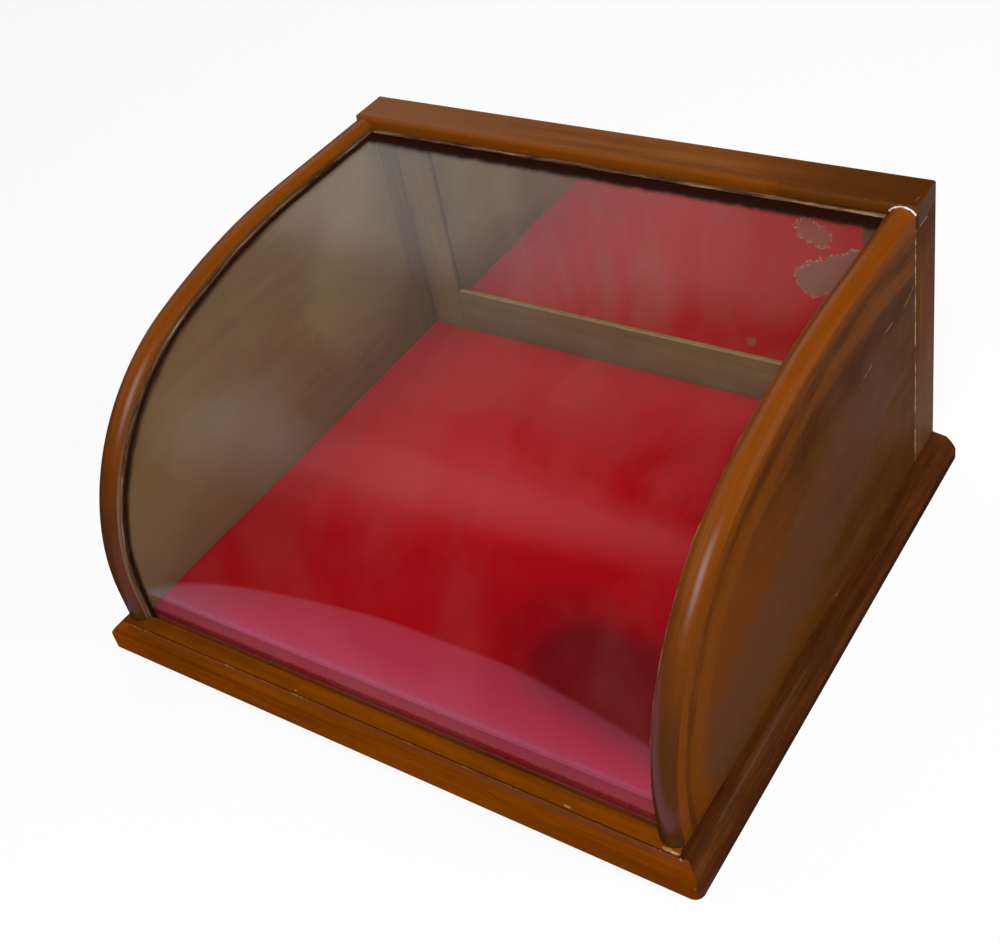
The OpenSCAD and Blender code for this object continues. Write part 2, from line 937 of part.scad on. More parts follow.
module turn_button_screw() {
    head_y = button_y + button_t + face_gap;
    color(old_brass) {
        rod_y(button_screw_r, y_rear - button_screw_l, head_y + past, button_x, button_z);
        translate([button_x, head_y, button_z])
            rotate([-90, 0, 0])
                cylinder(r1 = button_head_r, r2 = button_head_top_r, h = button_head_h, $fn = small_fn);
    }
}

base_board();
base_moulding_front();
base_moulding_left();
base_moulding_right();
base_screws();
side_panel_left();
side_panel_right();
rear_post_left();
rear_post_right();
panel_dowels();
rail_dowels();
top_rail();
door_stop();
curved_glass();
glazing_putty_top();
glazing_putty_left();
glazing_putty_right();
floor_board();
floor_cloth();
door_stile_left();
door_stile_right();
door_bottom_rail();
door_top_rail();
mirror_glass();  // mirror
mirror_back_board();
mirror_sprigs();
hinge_frame_leaves();
hinge_door_leaves();
hinge_pins();
frame_hinge_screws();
door_hinge_screws();
door_knob();
turn_button();
turn_button_screw();
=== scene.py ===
"""Dresses a packed counter-top display case: varnished mahogany, bent glass, red cloth and a worn mirror.

Everything is in metres in the case's own frame: the origin is the middle of the underside, +X is to the
right seen from the front, +Y to the rear and +Z up. The CAD nodes stay where they are. Those that show
sawn or moulded edges are stood for by copies with softened edges, and the cloth, the lumpy putty and the
joint filler are modelled here.
"""

import logging
import math
from collections.abc import Callable, Iterable
from dataclasses import dataclass
from enum import Enum

import bpy
from mathutils import Matrix, Vector


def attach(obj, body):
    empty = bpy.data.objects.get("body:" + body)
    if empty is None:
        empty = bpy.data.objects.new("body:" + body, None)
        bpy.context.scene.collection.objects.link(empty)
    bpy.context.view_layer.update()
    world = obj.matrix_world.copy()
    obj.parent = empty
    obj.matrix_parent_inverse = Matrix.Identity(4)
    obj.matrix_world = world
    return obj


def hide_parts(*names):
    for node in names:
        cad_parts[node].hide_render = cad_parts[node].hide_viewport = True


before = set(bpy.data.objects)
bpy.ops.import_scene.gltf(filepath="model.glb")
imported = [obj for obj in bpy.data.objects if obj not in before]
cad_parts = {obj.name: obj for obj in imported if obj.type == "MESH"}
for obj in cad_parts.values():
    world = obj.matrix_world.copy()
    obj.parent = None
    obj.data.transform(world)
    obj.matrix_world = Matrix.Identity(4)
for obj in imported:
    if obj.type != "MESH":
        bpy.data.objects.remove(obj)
log = logging.getLogger("display_case")

MM = 0.001
# Counts of a ray's bounces are whole, so this lies between none and one
ONE_BOUNCE = 0.5
STEEL = ("8C8C8A", "4A4846")

Socket = bpy.types.NodeSocket
Triple = tuple[float, float, float]
Colour = tuple[float, float, float, float]


# ---- small tools ------------------------------------------------------------------------------------------


def linear(code: str) -> Colour:
    """Turns an sRGB hex colour into linear RGBA.

    Args:
        code: Six hex digits.

    Returns:
        Linear red, green, blue and an alpha of 1.
    """
    parts = [int(code[i:i + 2], 16) / 255 for i in (0, 2, 4)]
    return (*(p / 12.92 if p <= 0.04045 else ((p + 0.055) / 1.055) ** 2.4 for p in parts), 1.0)


def in_metres(place: Triple) -> Triple:
    """Turns a place in millimetres into metres."""
    return tuple(part * MM for part in place)


class Axis(Enum):
    """The direction that a board's grain runs in."""

    X = 0
    Y = 1
    Z = 2


def long_patch(grain: Axis, along_mm: float, across_mm: float) -> Triple:
    """Gives the size of a patch that is long in the grain's direction."""
    size = [across_mm, across_mm, across_mm]
    size[grain.value] = along_mm
    return tuple(size)


class Bench:
    """Lays out the nodes of one material, lamp or world."""

    def __init__(self, tree: bpy.types.NodeTree) -> None:
        """Starts with an empty tree."""
        self.tree = tree
        tree.nodes.clear()

    def add(self, kind: str, inputs: dict | None = None, out: int | str = 0,
            stops: Iterable[tuple[float, tuple]] = (), **settings: object) -> Socket:
        """Adds one node with its settings, values and links.

        Args:
            kind: The node's type name, without its ShaderNode prefix.
            inputs: Socket name or number to a value, or to the socket that feeds it.
            out: Name or number of the output that is wanted.
            stops: Places and colours of a colour ramp.
            **settings: Attributes of the node, such as its operation.

        Returns:
            The wanted output socket, or the first input of a node that has no output.
        """
        node = self.tree.nodes.new("ShaderNode" + kind)
        for name, value in settings.items():
            setattr(node, name, value)
        for name, value in (inputs or {}).items():
            if isinstance(value, Socket):
                self.tree.links.new(value, node.inputs[name])
            else:
                node.inputs[name].default_value = value
        for number, (at, colour) in enumerate(stops):
            ramp = node.color_ramp.elements
            element = ramp[number] if number < len(ramp) else ramp.new(at)
            element.position = at
            element.color = colour
        return node.outputs[out] if node.outputs else node.inputs[0]

    def place(self) -> Socket:
        """Gives the place on the object, in metres."""
        return self.add("TexCoord", out="Object")

    def place_mm(self) -> Socket:
        """Gives the place on the object, in millimetres."""
        return self.add("VectorMath", {0: self.place(), "Scale": 1 / MM}, operation="SCALE")

    def place_along(self, axis: Axis) -> Socket:
        """Gives the place along one axis, in metres."""
        return self.add("SeparateXYZ", {0: self.place()}, out=axis.value)

    def mottle(self, size_mm: Triple, detail: float = 2.0, rough: float = 0.5, shift: float = 0.0,
               place: Socket | None = None) -> Socket:
        """Lays a cloudy pattern whose patches have a real size.

        Args:
            size_mm: Size of a patch along X, Y and Z.
            detail: Octaves of finer pattern.
            rough: Strength of the finer octaves.
            shift: Moves the pattern, so that two of them differ.
            place: Where the pattern is read, if not at the object's place.

        Returns:
            The pattern's value, from 0 to 1.
        """
        scaled = self.add("Mapping", {"Vector": place or self.place(), "Location": (shift, shift, shift),
                                      "Scale": tuple(1 / (s * MM) for s in size_mm)})
        return self.add("TexNoise", {"Vector": scaled, "Scale": 1.0, "Detail": detail, "Roughness": rough})

    def stretch(self, pattern: Socket, low: float, high: float) -> Socket:
        """Stretches a cloudy pattern, most of which lies between 0.3 and 0.7, over a range of values."""
        return self.add("MapRange", {"Value": pattern, "From Min": 0.3, "From Max": 0.7, "To Min": low,
                                     "To Max": high})

    def bounces(self, kind: str, limit: float, test: str = "LESS_THAN") -> Socket:
        """Compares how often a ray has bounced with a limit.

        Args:
            kind: Glossy, or Transmission for each face of glass that it has gone through.
            limit: What the count is held against.
            test: The comparison.

        Returns:
            1 where the comparison holds and 0 elsewhere.
        """
        return self.add("Math", {0: self.add("LightPath", out=f"{kind} Depth"), 1: limit}, operation=test)

    def seen(self) -> Socket:
        """Gives 1 for what the camera sees, also through glass, and 0 for what it sees in a reflection."""
        through = self.add("Math", {0: self.add("LightPath", out="Is Transmission Ray"),
                                    1: self.bounces("Glossy", ONE_BOUNCE)}, operation="MULTIPLY")
        return self.add("Math", {0: self.add("LightPath", out="Is Camera Ray"), 1: through},
                        operation="MAXIMUM")

    def tint(self, share: Socket, under: Socket | Colour, code: str) -> Socket:
        """Lays a hex colour over another colour by a share from 0 to 1."""
        return self.add("Mix", {0: share, 6: under, 7: linear(code)}, out=2, data_type="RGBA")

    def soft_step(self, value: Socket, start: float, end: float, top: float = 1.0) -> Socket:
        """Rises softly from 0 at one value to its top at another."""
        return self.add("MapRange", {"Value": value, "From Min": start, "From Max": end, "To Max": top},
                        interpolation_type="SMOOTHSTEP")


# ---- wear and painted light -------------------------------------------------------------------------------


@dataclass(frozen=True)
class Mark:
    """A scratch, chip, stain, worn line, painted shadow or painted reflection: all that lies near a straight
    line between two points.

    Attributes:
        start_mm: One end of the line.
        end_mm: Its other end.
        reach_mm: How far the mark spreads from the line.
        code: Colour of what shows there.
        share: How strongly it shows.
        ragged_mm: How far its outline wanders.
        gaps: How much of it is broken away, from 0 to 1.
    """

    start_mm: Triple
    end_mm: Triple
    reach_mm: float
    code: str
    share: float = 0.8
    ragged_mm: float = 0.0
    gaps: float = 0.0

    def away(self, bench: Bench) -> Socket:
        """Gives the distance from the line in millimetres, with the outline's wander."""
        start = Vector(in_metres(self.start_mm))
        run = Vector(in_metres(self.end_mm)) - start
        offset = bench.add("VectorMath", {0: bench.place(), 1: tuple(start)}, operation="SUBTRACT")
        along = bench.add("VectorMath", {0: offset, 1: tuple(run / run.length_squared)}, out="Value",
                          operation="DOT_PRODUCT")
        held = bench.add("Clamp", {"Value": along})
        nearest = bench.add("VectorMath", {0: tuple(run), "Scale": held}, operation="SCALE")
        metres = bench.add("VectorMath", {0: offset, 1: nearest}, out="Value", operation="DISTANCE")
        plain = bench.add("Math", {0: metres, 1: 1 / MM}, operation="MULTIPLY")
        if not self.ragged_mm:
            return plain
        size = max(1.5, 2.6 * self.ragged_mm)
        lumpy = bench.mottle((size, size, size), 3.0, 0.6, self.reach_mm)
        wander = bench.stretch(lumpy, -self.ragged_mm, self.ragged_mm)
        return bench.add("Math", {0: plain, 1: wander}, operation="ADD")

    def strength(self, bench: Bench) -> Socket:
        """Gives how strongly the mark shows, from 0 to its share."""
        near = bench.soft_step(self.away(bench), 1.25 * self.reach_mm, 0.6 * self.reach_mm, self.share)
        if not self.gaps:
            return near
        low, high = (level + 0.3 * self.gaps for level in (0.34, 0.44))
        whole = bench.add("MapRange", {"Value": bench.mottle((16, 16, 16), 5.0, 0.75, 2.7), "From Min": low,
                                       "From Max": high})
        return bench.add("Math", {0: near, 1: whole}, operation="MULTIPLY")


@dataclass(frozen=True)
class Fade:
    """A slow change of colour along one axis.

    Attributes:
        axis: The axis that it runs along.
        start_mm: Where the change starts.
        end_mm: Where it is complete.
        code: The colour at the end.
        share: How strongly that colour shows.
        ragged_mm: How far its front wanders.
    """

    axis: Axis
    start_mm: float
    end_mm: float
    code: str
    share: float = 1.0
    ragged_mm: float = 12.0

    def strength(self, bench: Bench) -> Socket:
        """Gives how far the change has gone, from 0 to its share."""
        clouds = bench.mottle((40, 40, 40), 2.0, 0.5, 4.4)
        wander = bench.stretch(clouds, -self.ragged_mm * MM, self.ragged_mm * MM)
        moved = bench.add("Math", {0: bench.place_along(self.axis), 1: wander}, operation="ADD")
        return bench.soft_step(moved, self.start_mm * MM, self.end_mm * MM, self.share)


@dataclass(frozen=True)
class CurvedEdge:
    """The rounded front outline of a side panel: a wide upper arc that runs into a narrow lower one.

    Attributes:
        upper_centre_mm: Centre of the upper arc.
        upper_radius_mm: Its radius.
        lower_centre_mm: Centre of the lower arc.
        lower_radius_mm: Its radius.
        joint_way: Square to the line through both centres, where the arcs meet, on the upper arc's side.
        joint_angle: The angle of that line.
    """

    upper_centre_mm: Triple = (0, 68.5, -256)
    upper_radius_mm: float = 472.5
    lower_centre_mm: Triple = (0, -19, 44)
    lower_radius_mm: float = 160
    joint_way: Triple = (0, 24, 7)
    joint_angle: float = math.atan2(-7, 24)

    def read(self, bench: Bench) -> tuple[Socket, Socket]:
        """Gives the depth behind the outline and the way along it.

        Args:
            bench: Where the nodes go.

        Returns:
            The depth and the length along the outline, both in millimetres.
        """
        place = bench.add("VectorMath", {0: bench.place(), 1: (0, 1 / MM, 1 / MM)}, operation="MULTIPLY")
        from_joint = bench.add("VectorMath", {0: place, 1: self.lower_centre_mm}, operation="SUBTRACT")
        side = bench.add("VectorMath", {0: from_joint, 1: self.joint_way}, out="Value",
                         operation="DOT_PRODUCT")
        low = bench.add("Math", {0: side, 1: 0.0}, operation="LESS_THAN")
        centre = bench.add("Mix", {0: low, 4: self.upper_centre_mm, 5: self.lower_centre_mm}, out=1,
                           data_type="VECTOR")
        radius = bench.add("MapRange", {"Value": low, "To Min": self.upper_radius_mm,
                                        "To Max": self.lower_radius_mm})
        spoke = bench.add("VectorMath", {0: place, 1: centre}, operation="SUBTRACT")
        length = bench.add("VectorMath", {0: spoke}, out="Value", operation="LENGTH")
        depth = bench.add("Math", {0: radius, 1: length}, operation="SUBTRACT")
        angle = bench.add("Math", {0: bench.add("SeparateXYZ", {0: spoke}, out=1),
                                   1: bench.add("SeparateXYZ", {0: spoke}, out=2)}, operation="ARCTAN2")
        step = self.joint_angle * (self.upper_radius_mm - self.lower_radius_mm)
        start = bench.add("Math", {0: low, 1: step}, operation="MULTIPLY")
        along = bench.add("Math", {0: angle, 1: radius, 2: start}, operation="MULTIPLY_ADD")
        return depth, along

    def place(self, bench: Bench) -> Socket:
        """Gives a place in metres: across the panel, behind the outline and along it."""
        depth, along = (bench.add("Math", {0: value, 1: MM}, operation="MULTIPLY")
                        for value in self.read(bench))
        return bench.add("CombineXYZ", {0: bench.place_along(Axis.X), 1: depth, 2: along})


@dataclass(frozen=True)
class EdgeStainAndShade:
    """A band of colour that follows the rounded outline of a side panel: a stain, and in places painted
    shade.

    Attributes:
        near_mm: Depth behind the outline where it starts.
        far_mm: Depth where it has faded out.
        code: Its colour.
        share: How strongly it shows.
        ragged_mm: How far its outline wanders.
    """

    near_mm: float
    far_mm: float
    code: str
    share: float = 0.8
    ragged_mm: float = 5.0

    def strength(self, bench: Bench) -> Socket:
        """Gives how strongly the band shows, from 0 to its share."""
        depth, along = CurvedEdge().read(bench)
        # This place is in millimetres, so its patches of 6 by 50 mm are written a thousand times as large
        place = bench.add("CombineXYZ", {0: 0.0, 1: depth, 2: along})
        runs = bench.mottle((6e3, 6e3, 5e4), 3.0, 0.6, self.near_mm, place)
        wander = bench.stretch(runs, -self.ragged_mm, self.ragged_mm)
        moved = bench.add("Math", {0: depth, 1: wander}, operation="ADD")
        soft = 0.35 * (self.far_mm - self.near_mm)
        inside = bench.soft_step(moved, self.near_mm - soft, self.near_mm + soft)
        still = bench.soft_step(moved, self.far_mm + soft, self.far_mm - soft, self.share)
        return bench.add("Math", {0: inside, 1: still}, operation="MULTIPLY")


def laid_over(bench: Bench, colour: Socket, layers: Iterable[Fade | EdgeStainAndShade | Mark]) -> Socket:
    """Lays fades, edge bands and marks over a colour, in order: wear, stains and painted light."""
    for layer in layers:
        colour = bench.tint(layer.strength(bench), colour, layer.code)
    return colour


# ---- finishes ---------------------------------------------------------------------------------------------


@dataclass(frozen=True)
class Finish:
    """A surface finish that makes one Blender material."""

    name: str

    def make(self) -> bpy.types.Material:
        """Makes the material and returns it."""
        material = bpy.data.materials.new(self.name)
        material.use_nodes = True
        bench = Bench(material.node_tree)
        bench.add("OutputMaterial", {"Surface": self.surface(bench)})
        return material

    def surface(self, bench: Bench) -> Socket:
        """Adds the shader's nodes and returns the socket for the output."""
        raise NotImplementedError


@dataclass(frozen=True)
class VarnishedMahogany(Finish):
    """Planed mahogany under many coats of old varnish: soft streaks, short dark pores, a low warm shine.

    Attributes:
        grain: The direction of the grain.
        dark: Colour of the darkest streaks.
        middle: Colour of most of the wood.
        light: Colour of the lightest streaks.
        patch: Colour of cloudy stains in the varnish.
        patch_share: How strongly those stains show.
        figure: How much the fine fibres darken and lighten the colour.
        round_edge: True where the streaks follow a panel's rounded outline.
        coat: Weight of the varnish's clear shine.
        coat_blur: How blurred that shine is.
        gloss: The wood's own shine under the varnish.
        wear_and_painted_light: Wear, stains and painted light: fades and edge bands, which lie under the
            pores and fibres, and marks, which lie over them.
        pore_shade: What a pore multiplies the colour by.
    """

    grain: Axis = Axis.X
    dark: str = "642E02"
    middle: str = "753800"
    light: str = "813F00"
    patch: str = "63300A"
    patch_share: float = 0.3
    figure: float = 0.08
    round_edge: bool = False
    coat: float = 0.04
    coat_blur: float = 0.25
    gloss: float = 0.02
    wear_and_painted_light: tuple[Fade | EdgeStainAndShade | Mark, ...] = ()
    pore_shade: Colour = (0.4, 0.35, 0.3, 1.0)

    def surface(self, bench: Bench) -> Socket:
        """Adds grain, pores, stain patches, wear and painted light, and the varnish coat."""
        place = CurvedEdge().place(bench) if self.round_edge else None
        figure = bench.mottle(long_patch(self.grain, 150, 9), 3.0, 0.55, 0.0, place)
        fibre = bench.mottle(long_patch(self.grain, 30, 1.2), 3.0, 0.6, 3.1, place)
        # Mahogany's pores are 0.2 mm wide; they are drawn 0.6 mm wide so that they show
        pores = bench.mottle(long_patch(self.grain, 6, 0.6), 1.0, 0.5, 7.7, place)
        clouds = bench.mottle((46, 46, 46), 3.0, 0.55, 1.9)
        faint = bench.add("Math", {0: fibre, 1: 0.3}, operation="MULTIPLY")
        streaks = bench.add("Math", {0: figure, 1: 0.7, 2: faint}, operation="MULTIPLY_ADD")
        colour = bench.add("ValToRGB", {"Fac": streaks}, stops=(
            (0.34, linear(self.dark)), (0.5, linear(self.middle)), (0.66, linear(self.light))))
        colour = bench.tint(bench.soft_step(clouds, 0.45, 0.66, self.patch_share), colour, self.patch)
        colour = laid_over(bench, colour, (layer for layer in self.wear_and_painted_light if not isinstance(layer, Mark)))
        open_pores = bench.add("MapRange", {"Value": pores, "From Min": 0.6, "From Max": 0.72,
                                            "To Max": 4 * self.figure})
        shaded = bench.add("Mix", {0: open_pores, 6: colour, 7: self.pore_shade}, out=2, data_type="RGBA",
                           blend_type="MULTIPLY")
        colour = bench.add("VectorMath", {0: shaded, "Scale": bench.stretch(
            fibre, 1 - self.figure, 1 + self.figure)}, operation="SCALE")
        colour = laid_over(bench, colour, (layer for layer in self.wear_and_painted_light if isinstance(layer, Mark)))
        relief = bench.add("Math", {0: fibre, 1: open_pores}, operation="SUBTRACT")
        fine = bench.add("Bump", {"Height": relief, "Strength": 0.25, "Distance": 0.1 * MM})
        waves = bench.add("Bump", {"Height": bench.mottle((9, 9, 9), 2.0, 0.5, 5.3), "Strength": 0.2,
                                   "Distance": 0.25 * MM})
        return bench.add("BsdfPrincipled", {
            "Base Color": colour, "Roughness": bench.stretch(clouds, 0.42, 0.6),
            "Specular IOR Level": self.gloss, "Normal": fine, "Coat Weight": self.coat,
            "Coat Roughness": self.coat_blur, "Coat Normal": waves})


@dataclass(frozen=True)
class BareWood(Finish):
    """Sawn or planed pine or beech without a finish: pale, matt, with faint yellow-brown growth rings."""

    def surface(self, bench: Bench) -> Socket:
        """Adds soft rings on a matt wood."""
        rings = bench.mottle(long_patch(Axis.X, 120, 5))
        colour = bench.add("ValToRGB", {"Fac": rings}, stops=(
            (0.35, linear("8A6238")), (0.6, linear("B48A58"))))
        bump = bench.add("Bump", {"Height": rings, "Strength": 0.2, "Distance": 0.2 * MM})
        return bench.add("BsdfPrincipled", {"Base Color": colour, "Roughness": 0.75, "Normal": bump})


@dataclass(frozen=True)
class BentGlass(Finish):
    """Old bent sheet glass: clear, faintly green, a little wavy, with thin dust and a dark border of painted
    shade at its edges.

    Attributes:
        side_mm: How far left of the middle the painted shade at the left side starts.
        head_mm: Where the painted shade under the top rail starts.
        ragged_mm: How far the painted shade's outline wanders.
    """

    side_mm: float = 190.6
    head_mm: float = 144.8
    ragged_mm: float = 5.0

    def edge_painted_shade(self, bench: Bench) -> Socket:
        """Gives the ragged dark border of painted shade at the left side and under the top rail."""
        wander = bench.mottle((9, 26, 26), 3.0, 0.6, 6.1)
        place = bench.place_mm()
        beside = bench.add("Math", {0: bench.add("SeparateXYZ", {0: place}), 1: -1.0}, operation="MULTIPLY")
        behind = bench.add("SeparateXYZ", {0: place}, out=1)
        borders = []
        for value, start, share in ((beside, self.side_mm, 0.78), (behind, self.head_mm, 0.96)):
            moved = bench.add("Math", {0: wander, 1: self.ragged_mm, 2: value}, operation="MULTIPLY_ADD")
            borders.append(bench.soft_step(moved, start + 0.6, start + 4.8, share))
        return bench.add("Math", {0: borders[0], 1: borders[1]}, operation="MAXIMUM")

    def surface(self, bench: Bench) -> Socket:
        """Adds clear glass that lets the lamps through."""
        waves = bench.add("Bump", {"Height": bench.mottle((70, 70, 70), 1.0), "Strength": 0.05,
                                   "Distance": 0.4 * MM})
        glass = bench.add("BsdfPrincipled", {
            "Base Color": linear("F6FAF6"), "Roughness": 0.0, "IOR": 1.45, "Transmission Weight": 1.0,
            "Normal": waves})
        film = bench.soft_step(bench.mottle((60, 90, 90), 4.0, 0.6, 0.6), 0.4, 0.7, 0.014)
        # The second layer is painted shade: a dark border on the glass where shade falls at the wood's edges
        for share, code in ((film, "B8B0A4"), (self.edge_painted_shade(bench), "220F08")):
            layer = bench.add("BsdfDiffuse", {"Color": linear(code)})
            glass = bench.add("MixShader", {0: share, 1: glass, 2: layer})
        clear = bench.add("BsdfTransparent", {"Color": linear("F6FAF6")})
        lamp_ray = bench.add("Math", {0: bench.add("LightPath", out="Is Shadow Ray"),
                                      1: bench.add("LightPath", out="Is Diffuse Ray")}, operation="MAXIMUM")
        return bench.add("MixShader", {0: lamp_ray, 1: glass, 2: clear})


@dataclass(frozen=True)
class OldMirror(Finish):
    """Silvered glass that has aged: patches where the silver is gone, with pale rims, and a faint haze.

    Attributes:
        patches: Where the silver is gone, and the colour that shows there.
        rim: Colour of a patch's rim.
        haze: Colour of the haze.
    """

    patches: tuple[Mark, ...] = ()
    rim: str = "B0A488"
    haze: str = "A89A80"

    def surface(self, bench: Bench) -> Socket:
        """Adds silver with worn-away patches."""
        haze = bench.mottle((34, 50, 110), 3.0, 0.55, 1.3)
        blur = bench.add("MapRange", {"Value": haze, "From Min": 0.35, "From Max": 0.7, "To Max": 0.05})
        silver = bench.add("BsdfPrincipled", {"Base Color": linear("EEEEE8"), "Metallic": 1.0,
                                              "Roughness": blur})
        most = bench.add("MapRange", {"Value": bench.place_along(Axis.X), "From Min": -20 * MM,
                                      "From Max": 110 * MM, "To Min": 0.17, "To Max": 0.07},
                         interpolation_type="SMOOTHSTEP")
        dull = bench.add("Math", {0: bench.soft_step(haze, 0.36, 0.66), 1: most}, operation="MULTIPLY")
        specks = bench.soft_step(bench.mottle((2.2, 2.2, 2.2), 3.0, 0.7), 0.44, 0.58)
        colour = linear(self.haze)
        for patch in self.patches:
            away = patch.away(bench)
            worn = bench.soft_step(away, patch.reach_mm + 0.8, patch.reach_mm - 1.2, patch.share)
            past_edge = bench.add("Math", {0: away, 1: patch.reach_mm}, operation="SUBTRACT")
            from_edge = bench.add("Math", {0: past_edge}, operation="ABSOLUTE")
            rim = bench.soft_step(from_edge, 1.9, 0.5, 0.85 * (1 - patch.gaps))
            rim = bench.add("Math", {0: rim, 1: specks}, operation="MULTIPLY")
            for share, code in ((worn, patch.code), (rim, self.rim)):
                dull = bench.add("Math", {0: dull, 1: share}, operation="MAXIMUM")
                colour = bench.tint(share, colour, code)
        bare = bench.add("BsdfDiffuse", {"Color": colour})
        return bench.add("MixShader", {0: dull, 1: silver, 2: bare})


@dataclass(frozen=True)
class RedCloth(Finish):
    """Plain woven red cotton: matt, with a faint fuzz and a fine square weave.

    Attributes:
        thread_mm: Distance between threads. It is about 0.5 mm, and is drawn wider so that it shows.
        painted_shade_and_reflection: Painted shade and painted reflection: darker towards the left and the
            front, a painted shadow at the front right, a pink painted reflection near the front edge and a
            dark band of painted shade along it.
    """

    thread_mm: float = 1.4
    # Painted light on the cloth: painted shade to the left and the front, a painted shadow at the front
    # right, a pink painted reflection and a dark painted-shade band at the front edge
    painted_shade_and_reflection: tuple[Fade | Mark, ...] = (
        Fade(Axis.X, -130, -205, "8C0810", 0.5), Fade(Axis.Y, 40, -90, "A0040E", 0.75),
        Mark((78, -84, 24.4), (205, -104, 24.4), 46.0, "8C0010", 0.6),
        Mark((100, -90, 24.4), (205, -108, 24.4), 36.0, "620008", 0.66),
        Mark((-200, -162, 24.4), (200, -162, 24.4), 8.0, "A03C54", 0.85, 1.0),
        Mark((-200, -168, 24.4), (200, -168, 24.4), 3.2, "6E0410", 0.9, 0.6))

    def surface(self, bench: Bench) -> Socket:
        """Adds a woven red cloth with its painted shade and reflection."""
        slubs = bench.mottle((1.8, 1.8, 1.8), 3.0, 0.65)
        turns = 2 * math.pi / (self.thread_mm * MM)
        waves = []
        for way in (Axis.X, Axis.Y):
            turned = bench.add("Math", {0: bench.place_along(way), 1: turns}, operation="MULTIPLY")
            waves.append(bench.add("Math", {0: turned}, operation="SINE"))
        weave = bench.add("Math", {0: waves[0], 1: waves[1]}, operation="MULTIPLY")
        colour = bench.add("ValToRGB", {"Fac": slubs}, stops=(
            (0.3, linear("B4020C")), (0.7, linear("CA0412"))))
        relief = bench.add("Math", {0: weave, 1: 0.25, 2: slubs}, operation="MULTIPLY_ADD")
        bump = bench.add("Bump", {"Height": relief, "Strength": 0.3, "Distance": 0.2 * MM})
        return bench.add("BsdfPrincipled", {
            "Base Color": laid_over(bench, colour, self.painted_shade_and_reflection), "Roughness": 0.85,
            "Specular IOR Level": 0.04, "Sheen Weight": 0.01, "Sheen Roughness": 0.4, "Normal": bump})


@dataclass(frozen=True)
class OldPutty(Finish):
    """Chalk and linseed putty gone hard: matt and dusty, with dark dirt and pale chips.

    Attributes:
        dirt: Colour of its dirty hollows.
        body: Colour of most of it.
        chip: Colour of its pale chips.
        round_edge: True where it runs along a panel's rounded outline.
        dirty_mm: How far from the middle its dirty inner lip ends.
    """

    dirt: str = "24140E"
    body: str = "5E4230"
    chip: str = "8E7A62"
    round_edge: bool = False
    dirty_mm: float = 0.0

    def surface(self, bench: Bench) -> Socket:
        """Adds a dusty putty whose dirt lies in long runs."""
        place = CurvedEdge().place(bench) if self.round_edge else None
        size = long_patch(Axis.Z if self.round_edge else Axis.X, 34, 3)
        colour = bench.add("ValToRGB", {"Fac": bench.mottle(size, 5.0, 0.7, 8.8, place)}, stops=(
            (0.4, linear(self.dirt)), (0.52, linear(self.body)), (0.66, linear(self.chip))))
        if self.dirty_mm:
            beside = bench.add("Math", {0: bench.place_along(Axis.X)}, operation="ABSOLUTE")
            lip = bench.soft_step(beside, self.dirty_mm * MM, (self.dirty_mm - 0.8) * MM, 0.9)
            colour = bench.tint(lip, colour, self.dirt)
        bump = bench.add("Bump", {"Height": bench.mottle((3, 3, 3), 3.0, 0.65), "Strength": 0.6,
                                  "Distance": 0.4 * MM})
        return bench.add("BsdfPrincipled", {"Base Color": colour, "Roughness": 0.85,
                                            "Specular IOR Level": 0.1, "Normal": bump})


@dataclass(frozen=True)
class PlasterFiller(Finish):
    """White plaster filler that was pressed into an open joint: chalky, matt, a little dirty."""

    def surface(self, bench: Bench) -> Socket:
        """Adds a chalky white with dirty hollows."""
        dust = bench.mottle((2, 2, 2), 3.0, 0.6)
        colour = bench.add("ValToRGB", {"Fac": dust}, stops=(
            (0.36, linear("B8A08C")), (0.5, linear("EFEAE2"))))
        return bench.add("BsdfPrincipled", {"Base Color": colour, "Roughness": 0.9})


@dataclass(frozen=True)
class OldMetal(Finish):
    """A cast or turned metal gone dull: tarnish in patches over a soft shine."""

    bright: str = "B08A4A"
    tarnish: str = "5A4020"

    def surface(self, bench: Bench) -> Socket:
        """Adds a tarnished metal."""
        spots = bench.mottle((4, 4, 4), 4.0, 0.6)
        colour = bench.add("ValToRGB", {"Fac": spots}, stops=(
            (0.4, linear(self.tarnish)), (0.62, linear(self.bright))))
        return bench.add("BsdfPrincipled", {"Base Color": colour, "Metallic": 1.0,
                                            "Roughness": bench.stretch(spots, 0.5, 0.28)})


